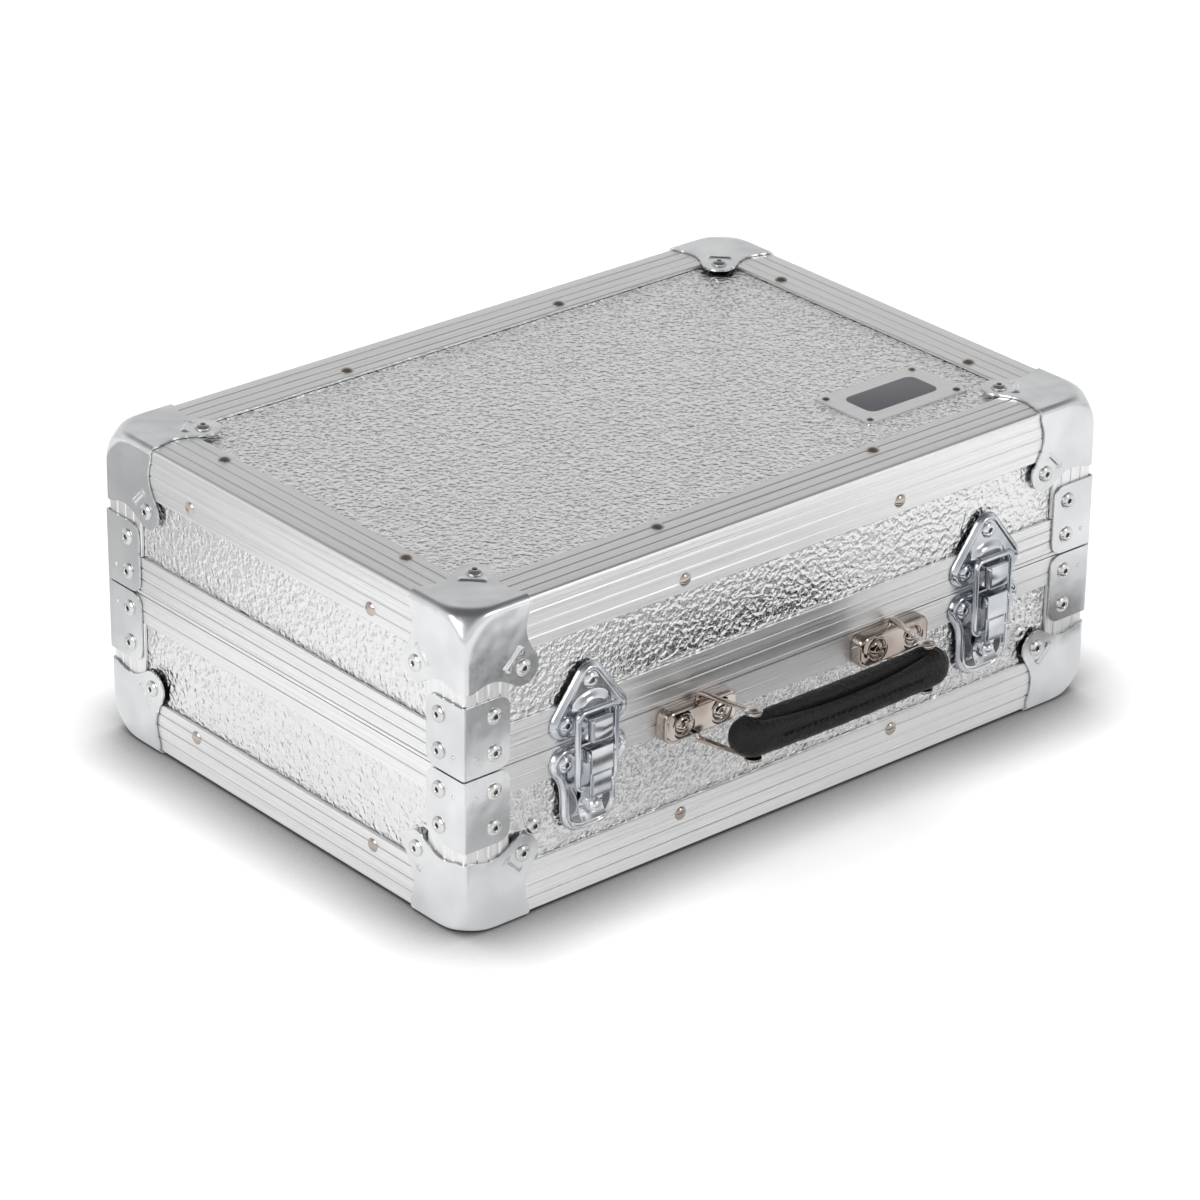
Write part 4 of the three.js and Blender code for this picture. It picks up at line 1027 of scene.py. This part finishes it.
for side, sign in (("left", -1), ("right", 1)):
    x = sign * bracket_spread
    part = on_front(moved(housing, (0, HANDLE_UP, 0)), x)
    piece("nickel_housing_" + side, part, nickel, "base", "nickel_steel", ["handle_bracket_" + side])
    points, faces = link
    run, up, off = points.T
    toe, out = -sign * TOE_IN / arm, (PIN_OUT - 3.5) / arm
    placed = np.stack([run * toe + off * out, up + HANDLE_UP, 3.5 + run * out - off * toe], -1)
    piece("wire_link_" + side, on_front((placed, faces), x), nickel, "link_" + side,
          "nickel_steel", ["handle_link_" + side])

# %% [markdown]
# ## Padded grip
# The grip is leather sewn round two rolls of padding: it folds deeply along the top between the
# eyes, and a stitched seam runs along the lower front. Its section is a squarish oval whose
# radius dips at the fold and the seam, it bows a little away from the case, and small wrinkles
# gather round the eyes. The folds are narrower than the steps of a cloth simulation, so they
# are worked out in code.

# %% Leather grip
GRIP_HALF, GRIP_DEEP, GRIP_TALL, BOW = 63.0, 9.0, 9.1, 1.6
SEAM_AT = np.radians(1)


def turned(angle, place):
    """The difference of two angles, between -pi and pi."""
    return (angle - place + np.pi) % (2 * np.pi) - np.pi


def grip_surface(along, angle, sink=0.0):
    """Points at a share of the length and an angle round the section, sunk by some millimetres."""
    x = along * GRIP_HALF
    to_end = GRIP_HALF - np.abs(x)
    round_off = np.sqrt(1 - np.clip(1 - to_end / 12.0, 0, 1) ** 2.4)
    power = 2.5
    wide = np.abs(np.cos(angle) / GRIP_DEEP) ** power
    tall = np.abs(np.sin(angle) / GRIP_TALL) ** power
    oval = (wide + tall) ** (-1 / power)
    between = np.clip((54 - np.abs(x)) / 6, 0, 1)
    fold_at = np.radians(58 + 32 * np.clip(np.abs(x) / 50, 0, 1) ** 2)
    from_fold = np.abs(turned(angle, fold_at))
    fold = 5.2 * between * np.exp(-((from_fold / 0.24) ** 1.3))
    stitched = np.clip((44 - np.abs(x)) / 4, 0, 1)
    pucker = 1 + 0.3 * np.sin(2 * np.pi * x / 3.4)
    seam = 1.5 * stitched * pucker * np.exp(-((turned(angle, SEAM_AT) / 0.1) ** 2))
    swell = 0.5 * between * np.exp(-((turned(angle, np.radians(30)) / 0.3) ** 2))
    gather = np.clip((np.abs(x) - 38) / 14, 0, 1) * np.exp(-((from_fold / 0.9) ** 2))
    creases = 0.22 * gather * np.sin(x * 1.9 + 3.1 * np.sin(angle * 3.0) + 5 * angle)
    slack = 0.12 * np.sin(x * 0.61 + 2.0 * angle) * np.sin(angle * 5.0 + x * 0.23)
    radius = (oval - fold - seam + swell + creases + slack - 0.3) * round_off - sink
    bow = BOW * (1 - along**2)
    out = PIN_OUT - 0.4 + bow + radius * np.cos(angle)
    return np.stack(np.broadcast_arrays(x, HANDLE_UP + radius * np.sin(angle), out), -1)


stations = -np.cos(np.linspace(0.0, np.pi, 261)) * 0.45 + np.linspace(-0.55, 0.55, 261)
around = np.linspace(0, 2 * np.pi, 160, endpoint=False)
hide = tube(grip_surface(stations[:, None], around[None, :]))
grip = piece("leather_grip", on_front(hide, 0), leather, "grip", "grip_leather", ["handle_grip"], sharp=180)


def stitches(count, length):
    """Short bent threads that cross the seam: each is a capsule along a chord over the groove."""
    middle = np.linspace(-42, 42, count)[:, None] / GRIP_HALF
    reach = np.linspace(-1, 1, 7)[None, :]
    path = grip_surface(middle, SEAM_AT + reach * length, -0.1 + 0.3 * reach**2)
    ring = np.linspace(0, 2 * np.pi, 8, endpoint=False)
    along = np.gradient(path, axis=1)
    along /= np.linalg.norm(along, axis=-1, keepdims=True)
    side = np.array([1.0, 0, 0])
    other = np.cross(along, side)
    thick = 0.3 * np.sqrt(np.clip(1.02 - reach**4, 0, 1))[..., None, None]
    spoke = np.cos(ring)[:, None] * side + np.sin(ring)[:, None] * other[:, :, None]
    rows = path[:, :, None] + thick * spoke
    return joined(*[tube(one) for one in rows])


piece("grip_stitches", on_front(stitches(26, 0.13), 0), thread, "grip", "grip_leather")
print("grip points:", len(hide[0]))

# %% [markdown]
# ## Hinges
# The two hinges on the back are not in the photograph. They are plain butt hinges of the same
# plated steel: round-cornered leaves, three knuckles and a pin with two heads. Their CAD shapes
# are right, so they only get their finish.

# %% Hinge finish
hinge_nodes = [part + side for side in ("left", "right") for part in ("leaf_base_", "leaf_lid_", "pin_")]
for node in hinge_nodes:
    coat("hinge_" + node, zinc)
print("hinge nodes:", hinge_nodes)

# %% [markdown]
# ## Foam liners
# Open-cell foam lines both trays. It is cut from sheet, so it has soft, flat faces
# and rounded edges: each block is a grid of points on a box whose corners are rounded.


# %% Foam blocks with rounded edges
def foam_block(low, high, radius=2.5, steps=18):
    """A rounded box: every grid point is clamped to an inner box and pushed out by the radius."""
    low, high = np.array(low, float), np.array(high, float)
    share = (1 - np.cos(np.linspace(0, np.pi, steps))) / 2
    a, b = np.meshgrid(share, share, indexing="ij")
    one = np.ones_like(a)
    sides = [(a, b, 0 * one), (a, b, one), (a, 0 * one, b), (a, one, b), (0 * one, a, b), (one, a, b)]
    parts = []
    for side in sides:
        point = low + np.stack(side, -1) * (high - low)
        core = np.clip(point, low + radius, high - radius)
        out = point - core
        out /= np.maximum(np.linalg.norm(out, axis=-1, keepdims=True), 1e-9)
        parts.append(((core + out * radius).reshape(-1, 3), quads(steps, steps)))
    return joined(*parts)


FOAM_IN, FOAM_THICK, STRIP_THICK, FOAM_GAP = 8.6, 9.0, 6.5, 0.1
foam_x, foam_front, foam_back = half_length - FOAM_IN, FRONT + FOAM_IN, BACK - FOAM_IN


def foam_walls(low, high, t=FOAM_THICK):
    """Four strips of thickness t along the walls between two heights."""
    near, far = foam_front + t + FOAM_GAP, foam_back - t - FOAM_GAP
    return [
        foam_block((-foam_x, foam_front, low), (foam_x, foam_front + t, high)),
        foam_block((-foam_x, foam_back - t, low), (foam_x, foam_back, high)),
        foam_block((-foam_x, near, low), (t - foam_x, far, high)),
        foam_block((foam_x - t, near, low), (foam_x, far, high)),
    ]


def foam_floor(low, high):
    """The sheet on the floor of a tray."""
    return foam_block((-foam_x, foam_front, low), (foam_x, foam_back, high))


def heights(node):
    """The lowest and the highest z of a CAD node, in millimetres."""
    return [corner.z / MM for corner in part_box(node)]


liner_low, liner_high = heights("base_foam_liner")
floor_top = liner_low + FOAM_THICK
liner = joined(foam_floor(liner_low, floor_top), *foam_walls(floor_top + FOAM_GAP, liner_high))
strips = joined(*foam_walls(*heights("lid_foam_walls"), STRIP_THICK))
for name, part, shell, node in (
    ("base_liner", liner, "base", "base_foam_liner"),
    ("lid_pad", foam_floor(*heights("lid_foam_pad")), "lid", "lid_foam_pad"),
    ("lid_strips", strips, "lid", "lid_foam_walls"),
):
    soft = piece(name, part, foam, shell, "foam", [node], sharp=60)
